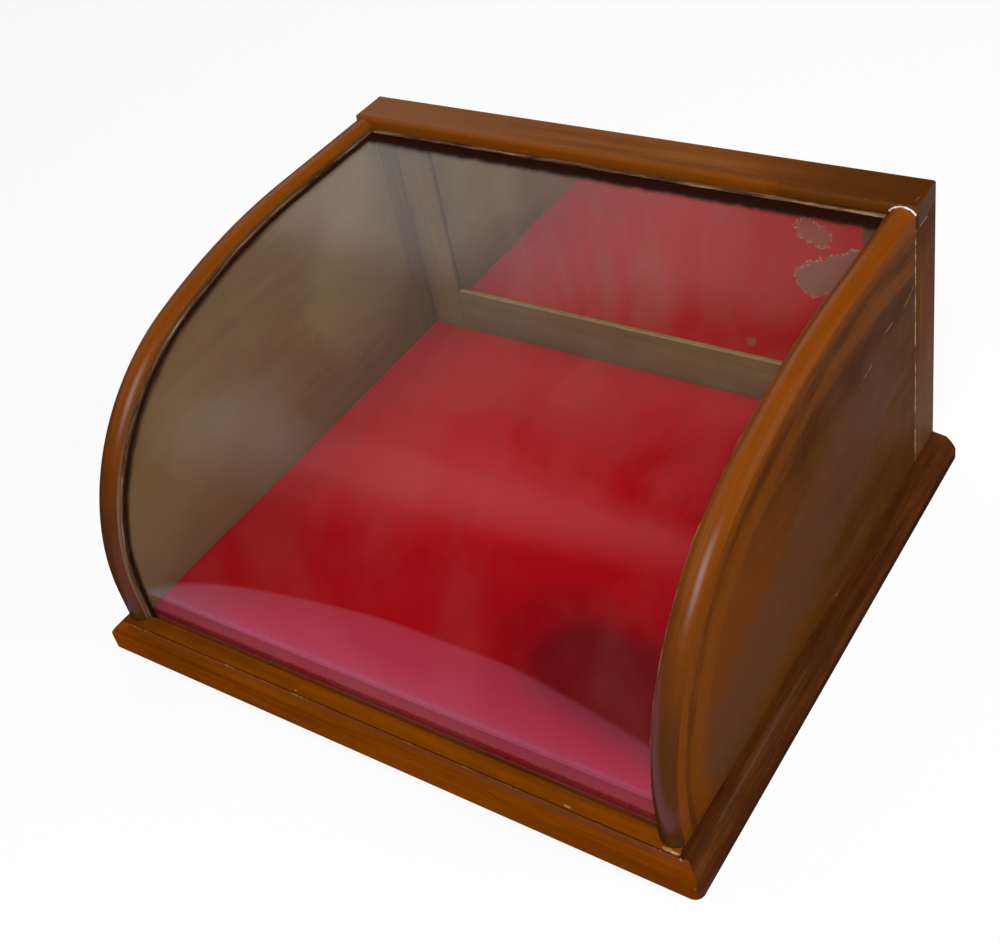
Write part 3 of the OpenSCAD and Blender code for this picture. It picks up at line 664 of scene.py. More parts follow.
@dataclass(frozen=True)
class PaleFloor(Finish):
    """White paper: it keeps the case's shadow, and looks nearly white to the camera and through glass.

    Attributes:
        white_share: How much of its look is plain white.
        paper: Colour of the rest of it.
        sheet_tint: Colour and strength of the lit sheet in front of the case, as gloss and glass show it.
        side_tint: Colour and strength at that sheet's left end.
        room_tint: Colour and strength of the rest of the floor there.
        pale_tint: Colour and strength of the floor behind the case and of what the mirror shows.
        left_mm: Where the lit sheet ends at the left.
        side_mm: How far its left end reaches.
        front_mm: Where it ends in front.
        slant_mm: Where its slanted front right edge crosses the Y axis.
        rear_mm: Where the floor behind the case starts.
        mirror_passes: A ray that the mirror sends back goes through more faces of glass than this.
    """

    white_share: float = 0.9
    paper: Colour = (0.85, 0.85, 0.85, 1.0)
    sheet_tint: Colour = (0.72, 0.25, 0.46, 1.0)
    side_tint: Colour = (0.34, 0.27, 0.39, 1.0)
    room_tint: Colour = (0.03, 0.025, 0.025, 1.0)
    pale_tint: Colour = (0.4, 0.4, 0.4, 1.0)
    left_mm: float = -232.0
    side_mm: float = 90.0
    front_mm: float = -548.0
    slant_mm: float = -438.0
    rear_mm: float = 210.0
    mirror_passes: float = 3.5

    def lit_sheet(self, bench: Bench) -> Socket:
        """Gives 1 on the lit sheet and 0 off it, with soft edges."""
        place = bench.place_mm()
        right = bench.add("SeparateXYZ", {0: place})
        ahead = bench.add("SeparateXYZ", {0: place}, out=1)
        slant = bench.add("Math", {0: ahead, 1: right}, operation="SUBTRACT")
        inside = bench.soft_step(right, self.left_mm - 12, self.left_mm + 6)
        for value, start, end in ((ahead, self.front_mm - 16, self.front_mm + 10),
                                  (slant, self.slant_mm - 16, self.slant_mm + 10), (ahead, -150.0, -190.0)):
            inside = bench.add("Math", {0: inside, 1: bench.soft_step(value, start, end)},
                               operation="MULTIPLY")
        return inside

    def reflected(self, bench: Bench) -> Socket:
        """Gives the floor's colour in gloss and glass: a lit sheet in a dim room."""
        side = bench.soft_step(bench.place_along(Axis.X), self.left_mm * MM,
                               (self.left_mm + self.side_mm) * MM)
        sheet = bench.add("Mix", {0: side, 6: self.side_tint, 7: self.sheet_tint}, out=2, data_type="RGBA")
        return bench.add("Mix", {0: self.lit_sheet(bench), 6: self.room_tint, 7: sheet}, out=2,
                         data_type="RGBA")

    def surface(self, bench: Bench) -> Socket:
        """Adds a white paper that keeps shadows and shows softly in gloss and glass."""
        paper = bench.add("BsdfDiffuse", {"Color": self.paper})
        white = bench.add("Emission", {"Strength": 1.0})
        seen = bench.add("Math", {0: bench.seen(), 1: self.white_share}, operation="MULTIPLY")
        floor = bench.add("MixShader", {0: seen, 1: paper, 2: white})
        mirrored = bench.bounces("Glossy", ONE_BOUNCE, "GREATER_THAN")
        pale = bench.add("Emission", {"Color": self.pale_tint})
        floor = bench.add("MixShader", {0: mirrored, 1: floor, 2: pale})
        glass_only = bench.bounces("Transmission", self.mirror_passes)
        in_front = bench.soft_step(bench.place_along(Axis.Y), self.rear_mm * MM, (self.rear_mm - 20) * MM)
        for share in (glass_only, in_front):
            mirrored = bench.add("Math", {0: mirrored, 1: share}, operation="MULTIPLY")
        tinted = bench.add("Emission", {"Color": self.reflected(bench)})
        return bench.add("MixShader", {0: mirrored, 1: floor, 2: tinted})


# ---- pieces -----------------------------------------------------------------------------------------------


def only(piece: bpy.types.Object) -> None:
    """Selects one object alone and makes it active."""
    bpy.ops.object.select_all(action="DESELECT")
    piece.select_set(True)
    bpy.context.view_layer.objects.active = piece


def apply_modifier(piece: bpy.types.Object, name: str, kind: str, **settings: object) -> None:
    """Adds one modifier with its settings and applies it."""
    only(piece)
    modifier = piece.modifiers.new(name, kind)
    for key, value in settings.items():
        setattr(modifier, key, value)
    bpy.ops.object.modifier_apply(modifier=modifier.name)


def lumps(size_mm: float) -> bpy.types.Texture:
    """Makes a cloudy texture whose lumps have a real size, for moving a mesh."""
    texture = bpy.data.textures.new(f"lumps_{size_mm:g}", "CLOUDS")
    texture.noise_scale = size_mm * MM
    texture.noise_depth = 2
    return texture


def merged_copy(node: str, name: str) -> bpy.types.Object:
    """Copies a CAD node with its loose triangles joined into whole faces.

    Args:
        node: The CAD node's name.
        name: The copy's name.

    Returns:
        The copy, alone selected.
    """
    piece = bpy.data.objects.new(name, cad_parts[node].data.copy())
    bpy.context.scene.collection.objects.link(piece)
    only(piece)
    bpy.ops.object.mode_set(mode="EDIT")
    bpy.ops.mesh.select_all(action="SELECT")
    bpy.ops.mesh.remove_doubles(threshold=0.002 * MM)
    bpy.ops.mesh.dissolve_limited(angle_limit=math.radians(0.05))
    bpy.ops.object.mode_set(mode="OBJECT")
    piece.data.materials.clear()
    return piece


def placed(piece: bpy.types.Object, body: str, slot: str, *nodes: str) -> bpy.types.Object:
    """Hangs a finished piece on the body that it rides on, and hides the CAD nodes that it stands for."""
    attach(piece, body)
    if nodes:
        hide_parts(*nodes)
    log.info("%s: %d faces, on %s", piece.name, len(piece.data.polygons), body)
    return piece


def softened(node: str, radius_mm: float, body: str, slot: str, finishes: list[bpy.types.Material],
             choose: Callable[[Vector, Vector], int] | None = None) -> bpy.types.Object:
    """Stands a copy with worn edges in for a CAD node.

    Args:
        node: The CAD node's name.
        radius_mm: Radius of its worn edges.
        body: The body that it rides on.
        slot: The record's material slot. Not used.
        finishes: The finishes that it gets.
        choose: Gives a face's finish from its middle and its normal.

    Returns:
        The new piece.
    """
    piece = merged_copy(node, f"{node}_worn")
    if radius_mm > 0:
        apply_modifier(piece, "worn_edges", "BEVEL", width=radius_mm * MM, segments=3, limit_method="ANGLE",
                       angle_limit=math.radians(40))
    only(piece)
    bpy.ops.object.shade_smooth_by_angle(angle=math.radians(30))
    for finish in finishes:
        piece.data.materials.append(finish)
    if choose:
        for face in piece.data.polygons:
            face.material_index = choose(face.center, face.normal)
    return placed(piece, body, slot, node)


def dress(nodes: Iterable[str], material: bpy.types.Material) -> None:
    """Gives CAD nodes that stay in view their finish."""
    for name in nodes:
        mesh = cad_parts[name].data
        mesh.materials.clear()
        mesh.materials.append(material)
        log.info("%s: kept, %s", name, material.name)


# ---- the studio -------------------------------------------------------------------------------------------


@dataclass(frozen=True)
class Glow:
    """A soft bright patch of the room that shows in the varnish and the glass.

    Attributes:
        azimuth_deg: Its direction from the front towards the left.
        elevation_deg: Its height.
        reach_deg: Its radius.
        strength: Its brightness over the room's own.
    """

    azimuth_deg: float
    elevation_deg: float
    reach_deg: float
    strength: float

    def way(self) -> Triple:
        """Gives the direction as a vector."""
        azimuth, elevation = math.radians(self.azimuth_deg), math.radians(self.elevation_deg)
        return (-math.cos(elevation) * math.sin(azimuth), -math.cos(elevation) * math.cos(azimuth),
                math.sin(elevation))


@dataclass(frozen=True)
class SoftBox:
    """A soft square lamp.

    Attributes:
        name: The lamp's name.
        place: Its middle.
        size_m: Its width and height.
        watts: Its power.
        mirrored: True where it shows in gloss and glass.
        in_glass: How much of it a sharp reflection shows: glass would give a hard white square.
        aim: The place on the case that it faces.
    """

    name: str
    place: Triple
    size_m: float
    watts: float
    mirrored: bool = False
    in_glass: float = 0.08
    aim: Triple = (0.0, 0.0, 0.1)

    def build(self) -> None:
        """Hangs the lamp so that it faces the case."""
        data = bpy.data.lights.new(self.name, "AREA")
        data.shape = "SQUARE"
        data.size = self.size_m
        data.energy = self.watts
        if self.mirrored:
            self.weaken(data)
        lamp = bpy.data.objects.new(self.name, data)
        bpy.context.scene.collection.objects.link(lamp)
        lamp.location = self.place
        lamp.rotation_euler = (Vector(self.aim) - Vector(self.place)).to_track_quat("-Z", "Y").to_euler()
        lamp.visible_glossy = self.mirrored
        lamp.visible_transmission = False

    def weaken(self, data: bpy.types.Light) -> None:
        """Makes the lamp show weakly where the glass's face mirrors it."""
        data.use_nodes = True
        bench = Bench(data.node_tree)
        # A ray that lights the case directly counts no glossy bounce, so the lamp keeps its power for it
        sharp = bench.add("Math", {0: bench.add("LightPath", out="Glossy Depth"),
                                   1: bench.bounces("Transmission", ONE_BOUNCE)}, operation="MULTIPLY")
        power = bench.add("MapRange", {"Value": sharp, "To Min": 1.0, "To Max": self.in_glass})
        bench.add("OutputLight", {"Surface": bench.add("Emission", {"Strength": power})})


@dataclass
class Studio:
    """The floor, the room, the lamps and the camera. The case stands on the floor at z 0.

    Attributes:
        floor_m: Width of the floor.
        room: Brightness of the room where nothing lights it.
        wall: What the broad wall of light at the left adds to it.
        wall_foot: Height of a ray where that wall starts, and where it is whole.
        wall_head: The same at its top.
        wall_side: How far left a ray points where the wall starts, and where it is whole.
        glows: Bright patches of the room.
        lamps: The lamps.
        camera_place: Where the camera is.
        azimuth_deg: Its turn about the upright axis.
        elevation_deg: How far it looks down.
        roll_deg: How far it is tilted to the side.
        lens_mm: Its focal length.
        sensor_mm: Width of its sensor.
        shift: Its shift to the side and up.
    """

    floor_m: float = 14.0
    room: float = 0.024
    wall: float = 0.304
    wall_foot: tuple[float, float] = (0.2, 0.5)
    wall_head: tuple[float, float] = (0.9, 0.81)
    wall_side: tuple[float, float] = (0.54, 0.77)
    glows: tuple[Glow, ...] = (Glow(50, 44, 14, 0.16), Glow(140, 29, 18, 0.4))
    lamps: tuple[SoftBox, ...] = (SoftBox("key", (0.57, -1.05, 1.45), 0.75, 26, True),
                                  SoftBox("right_rear", (1.3, 0.5, 1.1), 0.9, 15),
                                  SoftBox("left_rear", (-0.7, 0.9, 1.5), 0.9, 9))
    camera_place: Triple = (0.484305, -0.557048, 0.701266)
    azimuth_deg: float = 40.425
    elevation_deg: float = 38.846
    roll_deg: float = -12.472
    lens_mm: float = 53.147
    sensor_mm: float = 36.0
    shift: tuple[float, float] = (-0.014753, -0.042506)

    def build(self) -> None:
        """Makes the camera, the floor, the room and the lamps."""
        self.camera()
        self.floor()
        self.world()
        for lamp in self.lamps:
            lamp.build()
        bpy.context.scene.view_settings.view_transform = "Standard"

    def floor(self) -> None:
        """Lays the paper floor."""
        bpy.ops.mesh.primitive_plane_add(size=self.floor_m, location=(0, 0, 0))
        floor = bpy.context.object
        floor.name = "floor"
        floor.data.materials.append(PaleFloor("white_paper").make())

    def world(self) -> None:
        """Makes the room: dim, with one broad soft wall of light at the left, and white to the camera."""
        world = bpy.data.worlds.new("studio")
        bpy.context.scene.world = world
        world.use_nodes = True
        bench = Bench(world.node_tree)
        way = bench.add("TexCoord", out="Generated")
        height = bench.add("SeparateXYZ", {0: way}, out=2)
        level = bench.add("VectorMath", {0: way, 1: (1, 1, 0)}, operation="MULTIPLY")
        ahead = bench.add("VectorMath", {0: level}, operation="NORMALIZE")
        left = bench.add("VectorMath", {0: ahead, 1: (-1, 0, 0)}, out="Value", operation="DOT_PRODUCT")
        foot, head, side = (bench.soft_step(value, *ends) for value, ends in (
            (height, self.wall_foot), (height, self.wall_head), (left, self.wall_side)))
        lit = bench.add("Math", {0: foot, 1: head}, operation="MULTIPLY")
        lit = bench.add("Math", {0: lit, 1: side}, operation="MULTIPLY")
        light = bench.add("Math", {0: lit, 1: self.wall, 2: self.room}, operation="MULTIPLY_ADD")
        for glow in self.glows:
            near = bench.add("VectorMath", {0: way, 1: glow.way()}, out="Value", operation="DOT_PRODUCT")
            patch = bench.soft_step(near, math.cos(math.radians(glow.reach_deg)), 1.0, glow.strength)
            light = bench.add("Math", {0: light, 1: patch}, operation="ADD")
        strength = bench.add("Mix", {0: bench.seen(), 2: light, 3: 1.0}, out=0, data_type="FLOAT")
        room = bench.add("Background", {"Color": (1, 1, 1, 1), "Strength": strength})
        bench.add("OutputWorld", {"Surface": room})

    def camera(self) -> None:
        """Sets the camera where the photograph was taken from."""
        data = bpy.data.cameras.new("camera")
        data.lens = self.lens_mm
        data.sensor_width = self.sensor_mm
        data.shift_x, data.shift_y = self.shift
        camera = bpy.data.objects.new("camera", data)
        bpy.context.scene.collection.objects.link(camera)
        turn = (Matrix.Rotation(math.radians(self.azimuth_deg), 3, "Z")
                @ Matrix.Rotation(math.radians(90 - self.elevation_deg), 3, "X")
                @ Matrix.Rotation(math.radians(self.roll_deg), 3, "Z"))
        camera.matrix_world = Matrix.Translation(self.camera_place) @ turn.to_4x4()
        bpy.context.scene.camera = camera


# ---- the case ---------------------------------------------------------------------------------------------


PALE = "B9A890"
DEEP = "1E0E08"


@dataclass
class Base:
    """The base board and the mouldings round it.

    Attributes:
        edge_mm: Radius of the worn edges.
        top_mm: Height of the board's top.
        left_mm: Where the front seam starts at the left.
        seam_y_mm: The seam between the board and the front moulding.
        front_y_mm: The front moulding's face.
        right_mm: The seam between the board and the right moulding.
        outer_right_mm: The right moulding's face.
    """

    edge_mm: float = 0.6
    top_mm: float = 19.0
    left_mm: float = -219.0
    seam_y_mm: float = -182.0
    front_y_mm: float = -192.0
    right_mm: float = 212.5
    outer_right_mm: float = 227.0

    def seam(self) -> tuple[Mark, ...]:
        """Gives the seam between the board and the front moulding: a broken brown band of painted
        reflection, a dark line, then pale dust.
        """
        left, right, y, top = self.left_mm, 215, self.seam_y_mm, self.top_mm
        # The first mark is a painted reflection along the front moulding's rounded top
        return (Mark((-205, y - 2.6, 18.2), (225, y - 2.6, 18.2), 1.5, "5E3020", 0.5, 0.9),
                Mark((left, y - 0.2, top), (right, y - 0.2, top), 0.6, DEEP, 0.8),
                Mark((left, y - 1.1, top), (right, y - 1.1, top), 0.55, "9A7040", 0.6, 0.4, 0.55))

    def mitre(self) -> tuple[Mark, ...]:
        """Gives the pale dust in the front right mitre, over its top and down its face."""
        x, y = self.outer_right_mm, self.front_y_mm
        return (Mark((self.right_mm, self.seam_y_mm, self.top_mm), (x, y + 0.5, 9), 0.5, "D8CCBC", 0.85,
                     0.4, 0.35),
                Mark((x - 0.5, y, 12), (x - 0.5, y, 0), 0.45, "C8B8A4", 0.8, 0.3, 0.5))

    def chips(self) -> tuple[Mark, ...]:
        """Gives the pale chips along the ledge and at the right panel's foot."""
        ends = (((140, -180.4), (143, -180.6), 0.7, "B08850", 0.7, 0.4),
                ((-60, -180.2), (-59, -180.2), 0.5, "B89868", 0.7, 0.3),
                ((203, -181), (210, -181.2), 1.2, "A88458", 0.6, 1.2),
                ((208, -181), (219, -180), 0.5, "C8B89C", 0.8, 0.4, 0.3))
        return tuple(Mark((*start, self.top_mm), (*end, self.top_mm), *look) for start, end, *look in ends)

    def side_seam(self, x_mm: float, *look: float | str) -> Mark:
        """Gives a line beside the right panel, at a place across the board and with a mark's look."""
        return Mark((x_mm, -178, self.top_mm), (x_mm, 190, self.top_mm), *look)

    def build(self) -> None:
        """Softens and dresses the board and the mouldings."""
        ledge = VarnishedMahogany("varnished_mahogany_board", Axis.X, wear_and_painted_light=(
            Fade(Axis.X, -165, -212, "4E2C14", 0.6), self.side_seam(self.right_mm, 0.9, DEEP, 0.8),
            *self.chips()))
        front = VarnishedMahogany("varnished_mahogany_front", Axis.X, coat=0.02, gloss=0.0, wear_and_painted_light=(
            Fade(Axis.X, 120, 228, "622C00", 0.5), Fade(Axis.X, -160, -216, "823F00", 0.8),
            *self.seam(), *self.mitre()))
        sides = VarnishedMahogany(
            "stained_mahogany_sides", Axis.Y, dark="3A1A06", middle="4A240A", light="5A300F", patch="34180C",
            wear_and_painted_light=(*self.mitre(), self.side_seam(213.2, 0.5, "8E6A48", 0.5, 0.5, 0.8)))
        finishes = [ledge.make(), BareWood("sawn_underside").make()]
        softened("base_board", self.edge_mm, "case", "varnished_mahogany", finishes,
                 lambda middle, normal: int(normal.z < -0.5 or middle.z < 2 * MM))
        front_finish = front.make()
        for name, finish in (("base_moulding_front", front_finish), ("base_moulding_left", front_finish),
                             ("base_moulding_right", sides.make())):
            softened(name, self.edge_mm, "case", "varnished_mahogany", [finish])
        dress(["base_screws"], OldMetal("steel_screws", *STEEL).make())


@dataclass
class Carcass:
    """The panels with their rounded front edges, the posts and the top rail.

    Attributes:
        edge_mm: Radius of the worn edges.
        rail_edge_mm: The same on the top rail.
        wall_mm: From the middle to a panel's inner face.
        panel_mm: Thickness of a panel.
        joint_y_mm: The joint between panels and posts, and the rail's front.
        nose_middle_mm: Where the rounded edge's middle is across the right panel.
        nose_z_mm: Height of the centre that it is rounded about, at the rail.
        nose_r_mm: Its radius.
        nose_half_deg: Half the angle that it spans.
        bead_r_mm: Radius of the bead of filler over it.
    """

    edge_mm: float = 0.6
    rail_edge_mm: float = 0.9
    wall_mm: float = 196.5
    panel_mm: float = 16.0
    joint_y_mm: float = 159.0
    nose_middle_mm: float = 204.5
    nose_z_mm: float = 206.5
    nose_r_mm: float = 10.0
    nose_half_deg: float = 53.0
    bead_r_mm: float = 0.65

    def build(self) -> None:
        """Softens and dresses panels, posts and rail, and fills the open joint."""
        self.panels()
        self.posts()
        self.rail()
        self.filler()
        dress(["door_stop"], VarnishedMahogany("dark_mahogany_stop", Axis.X, dark="2A140A", middle="341A0C",
                                               light="40220F").make())
        dress(["panel_dowels", "rail_dowels"], BareWood("beech_dowels").make())

    def panel_faces(self, side: int) -> Callable[[Vector, Vector], int]:
        """Gives the rule that tells a panel's outer face, inner face and rounded edge apart.

        Args:
            side: 1 for the right panel and -1 for the left one.

        Returns:
            A rule from a face's middle and normal to 0, 1 or 2.
        """
        def choose(middle: Vector, normal: Vector) -> int:
            """Gives 0 for the outer face, 1 for the inner face and 2 for the rounded edge."""
            if abs(normal.x) > 0.97:
                return 0 if normal.x * side > 0 else 1
            return 2
        return choose

    def joint(self, top_mm: float) -> Mark:
        """Gives the pale dust in the open joint down the right side, from a height."""
        x = self.wall_mm + self.panel_mm
        return Mark((x, self.joint_y_mm, top_mm), (x, self.joint_y_mm, 20), 0.55, PALE, 0.8, 0.25, 0.42)

    def outer_wear_and_painted_light(self) -> tuple[Fade | EdgeStainAndShade | Mark, ...]:
        """Gives the stains, a band of painted shade and a patch of painted reflection, the open joint and
        the scratches of the panels' outer faces.
        """
        x = self.wall_mm + self.panel_mm
        scratches = (((122.7, 160.0), (100.9, 160.6)), ((89.9, 151.6), (71.9, 150.2)),
                     ((156, 163), (140, 158)))
        return (Fade(Axis.Y, 60, -90, "66340C", 0.9), Fade(Axis.Z, 120, 200, "361804", 0.8),
                # The band from 13 to 18 mm behind the outline is painted shade beside the rounded edge
                EdgeStainAndShade(-20, 13, "723A06", 0.9), EdgeStainAndShade(13, 18, "442208", 0.55),
                EdgeStainAndShade(20, 36, "703A08", 0.65),
                # This broad purple-brown patch is a painted reflection
                Mark((x, 90, 120), (x, -108, 50), 38.0, "563626", 0.6, 8.0), self.joint(214),
                *(Mark((x, *start), (x, *end), 0.35, "A08060", 0.75, 0.2, 0.3) for start, end in scratches))

    def inner_wear_and_painted_shade(self) -> tuple[EdgeStainAndShade | Mark, ...]:
        """Gives the painted shade near the rounded edge, the crack, the specks and the clouds of the panels'
        inner faces.
        """
        lines = (((158.5, 202), (159.5, 108), 0.5, "A89C7C", 0.5, 0.3, 0.2),
                 ((158, 139), (139, 128), 0.5, "A89C7C", 0.45, 0.3),
                 ((166, 158), (160, 158), 1.4, "9CAA88", 0.6, 1.0),
                 ((175, 159), (174, 158), 1.1, "9CA878", 0.5, 0.9),
                 ((100, 110), (150, 150), 60.0, "8A704A", 0.5, 10.0),
                 ((-160, 70), (-60, 60), 70.0, "7E6048", 0.85, 8.0))
        x = -self.wall_mm
        # The dark band near the rounded edge is painted shade under the putty and the glass
        return (EdgeStainAndShade(-20, 10, "4A2A10", 0.5),
                *(Mark((x, *start), (x, *end), *look) for start, end, *look in lines))

    def panels(self) -> None:
        """Dresses the two panels, each with three finishes."""
        outer = VarnishedMahogany(
            "stained_mahogany_outside", Axis.Y, dark="4C280A", middle="56300F", light="603714",
            patch="4E2A16", figure=0.04, coat=0.03, gloss=0.02, wear_and_painted_light=self.outer_wear_and_painted_light())
        inner = VarnishedMahogany(
            "stained_mahogany_inside", Axis.Y, dark="6A4820", middle="704C22", light="775226",
            patch="66422A", figure=0.02, coat=0.05, gloss=0.15, wear_and_painted_light=self.inner_wear_and_painted_shade())
        nose = VarnishedMahogany(
            "varnished_mahogany_edges", Axis.Z, dark="6E3602", middle="763A03", light="7E4004",
            patch="6A340E", patch_share=0.2, figure=0.03, round_edge=True, coat=0.8, coat_blur=0.22,
            wear_and_painted_light=(Fade(Axis.Z, 195, 80, "4E2607", 0.92), Fade(Axis.Z, 40, 22, "52361F", 0.6)))
        finishes = [finish.make() for finish in (outer, inner, nose)]
        for name, side in (("side_panel_left", -1), ("side_panel_right", 1)):
            softened(name, self.edge_mm, "case", "dark_mahogany", finishes, self.panel_faces(side))

    def posts(self) -> None:
        """Dresses the rear posts, each with two finishes."""
        x = self.wall_mm + self.panel_mm
        scratch = Mark((x, 166, 200.7), (x, 177.5, 200.7), 0.35, "B09878", 0.8, 0.2)
        post = VarnishedMahogany(
            "stained_mahogany_posts", Axis.Z, dark="4A280C", middle="583214", light="643C1A",
            patch="4E2A16", figure=0.05, coat=0.03, gloss=0.02,
            wear_and_painted_light=(Fade(Axis.Z, 170, 205, "4A260A", 0.9), Fade(Axis.Z, 140, 60, "66462E", 0.8),
                  self.joint(204), scratch))
        inside = VarnishedMahogany(
            "stained_mahogany_posts_inside", Axis.Z, dark="5E3C14", middle="6C481C", light="785424",
            patch="5E3A22", figure=0.03, coat=0.05, gloss=0.15)
        finishes = [post.make(), inside.make()]
        for name, side in (("rear_post_left", -1), ("rear_post_right", 1)):
            softened(name, self.edge_mm, "case", "dark_mahogany", finishes,
                     lambda middle, normal, side=side: int(normal.x * side < -0.5))

    def rail(self) -> None:
        """Dresses the top rail: worn bright along its front edge, with a painted sheen on its top and
        painted shade under its groove.
        """
        top = VarnishedMahogany(
            "varnished_mahogany_rail", Axis.X, dark="643210", middle="6F3D12", light="7C4818",
            patch="66361C", figure=0.04, coat=0.16, gloss=0.05,
            # Painted sheen: the top is lighter and greyer towards the left and darker towards the right
            wear_and_painted_light=(Fade(Axis.X, 0, -200, "784A28", 0.9), Fade(Axis.X, 60, 205, "482404", 0.97),
                  Mark((-214, 159.6, 214), (120, 159.6, 214), 4.6, "7E3F02", 0.85, 0.8),
                  Mark((120, 159.6, 214), (214, 159.6, 214), 3.4, "683402", 0.7, 0.8),
                  Mark((210, 166, 218), (212.1, 180, 218), 0.6, "8A6444", 0.4, 0.6, 0.5)))
        # Painted shade: the lip under the groove is near black, with a reddish patch and a pale speck
        lip = VarnishedMahogany(
            "mahogany_lip_painted_shade", Axis.X, dark="1E0E0C", middle="28120E", light="341812", patch="1A0C0A",
            coat=0.05, gloss=0.1,
            wear_and_painted_light=(Mark((1.7, 159, 203), (39.5, 159, 203), 2.5, "74280E", 0.8, 1.2),
                  Mark((44.5, 159, 203), (46, 159, 203), 1.6, "A8A8A0", 0.6, 0.8)))
        softened("top_rail", self.rail_edge_mm, "case", "varnished_mahogany", [top.make(), lip.make()],
                 lambda middle, normal: int(middle.z < 208.8 * MM and middle.y < 166 * MM))

    def filler(self) -> None:
        """Models the lumpy bead of filler over the right panel's rounded edge, against the rail."""
        turn = math.radians(-self.nose_half_deg)
        reach = (self.nose_r_mm + 0.2) * MM
        middle = Vector((self.nose_middle_mm * MM, (self.joint_y_mm - 0.2) * MM, self.nose_z_mm * MM))
        start = middle + reach * Vector((math.sin(turn), 0, math.cos(turn)))
        bpy.ops.object.select_all(action="DESELECT")
        bpy.ops.mesh.primitive_circle_add(vertices=12, radius=self.bead_r_mm * MM, fill_type="NGON",
                                          location=start, rotation=(0, math.pi / 2 + turn, 0))
        piece = bpy.context.object
        piece.name = "joint_filler"
        bpy.ops.object.transform_apply(location=True, rotation=True, scale=True)
        bpy.ops.object.mode_set(mode="EDIT")
        bpy.ops.mesh.select_all(action="SELECT")
        bpy.ops.mesh.spin(steps=44, angle=2 * turn, center=middle, axis=(0, 1, 0))
        bpy.ops.mesh.select_all(action="SELECT")
        bpy.ops.mesh.remove_doubles(threshold=0.001 * MM)
        bpy.ops.mesh.normals_make_consistent(inside=False)
        bpy.ops.object.mode_set(mode="OBJECT")
        apply_modifier(piece, "smooth", "SUBSURF", levels=1, render_levels=1)
        apply_modifier(piece, "lumps", "DISPLACE", texture=lumps(2.2), texture_coords="LOCAL",
                       strength=0.7 * MM, mid_level=0.5)
        only(piece)
        bpy.ops.object.shade_smooth()
        piece.data.materials.append(PlasterFiller("plaster_filler").make())
        placed(piece, "case", "old_putty")


@dataclass
class Glazing:
    """The bent glass and the lumpy putty round it.

    Attributes:
        voxel_mm: How finely the putty is remade.
        wall_mm: From the middle to a panel's inner face.
        rail_mm: The rail's front.
        spread: How much wider the putty is than the CAD's.
        spread_right: The same at the right panel, where it was wiped cleaner.
        dirty_mm: How far from the middle the dirty lip of the putty at the sides ends.
    """

    voxel_mm: float = 0.45
    wall_mm: float = 196.5
    rail_mm: float = 159.0
    spread: float = 2.0
    spread_right: float = 1.15
    dirty_mm: float = 194.6

    def build(self) -> None:
        """Dresses the glass and models the putty."""
        glass = softened("curved_glass", 0.0, "case", "case_glass", [BentGlass("bent_glass").make()])
        apply_modifier(glass, "even_shading", "WEIGHTED_NORMAL", weight=90, keep_sharp=True)
        side = OldPutty("old_putty_sides", dirt="2A140C", body="6A4C34", round_edge=True,
                        dirty_mm=self.dirty_mm).make()
        top = OldPutty("old_putty_top", dirt="3A2418", body="6E5038", chip="A08668").make()
        for name, finish, seat, spread in (("glazing_putty_top", top, (0, self.rail_mm, 0), self.spread),
                                           ("glazing_putty_left", side, (-self.wall_mm, 0, 0), self.spread),
                                           ("glazing_putty_right", side, (self.wall_mm, 0, 0),
                                            self.spread_right)):
            self.putty(name, finish, seat, spread)

    def putty(self, node: str, finish: bpy.types.Material, seat_mm: Triple, spread: float) -> None:
        """Models one run of hand-pressed putty, smeared over the glass from the wood that it sits against.

        Args:
            node: The CAD node that it stands for.
            finish: Its finish.
            seat_mm: A point on the wood's face, with 0 along the axes that it isn't spread on.
            spread: How much wider it is than the CAD's.
        """
        piece = merged_copy(node, f"{node}_lumpy")
        bpy.ops.object.mode_set(mode="EDIT")
        bpy.ops.mesh.select_all(action="SELECT")
        bpy.ops.transform.resize(value=tuple(spread if part else 1.0 for part in seat_mm),
                                 center_override=in_metres(seat_mm))
        bpy.ops.object.mode_set(mode="OBJECT")
        apply_modifier(piece, "even", "REMESH", mode="VOXEL", voxel_size=self.voxel_mm * MM)
        apply_modifier(piece, "lumps", "DISPLACE", texture=lumps(7.0), texture_coords="LOCAL",
                       strength=0.6 * MM, mid_level=0.5)
        apply_modifier(piece, "smooth", "SMOOTH", factor=0.5, iterations=2)
        only(piece)
        bpy.ops.object.shade_smooth()
        piece.data.materials.clear()
        piece.data.materials.append(finish)
        placed(piece, "case", "old_putty", node)


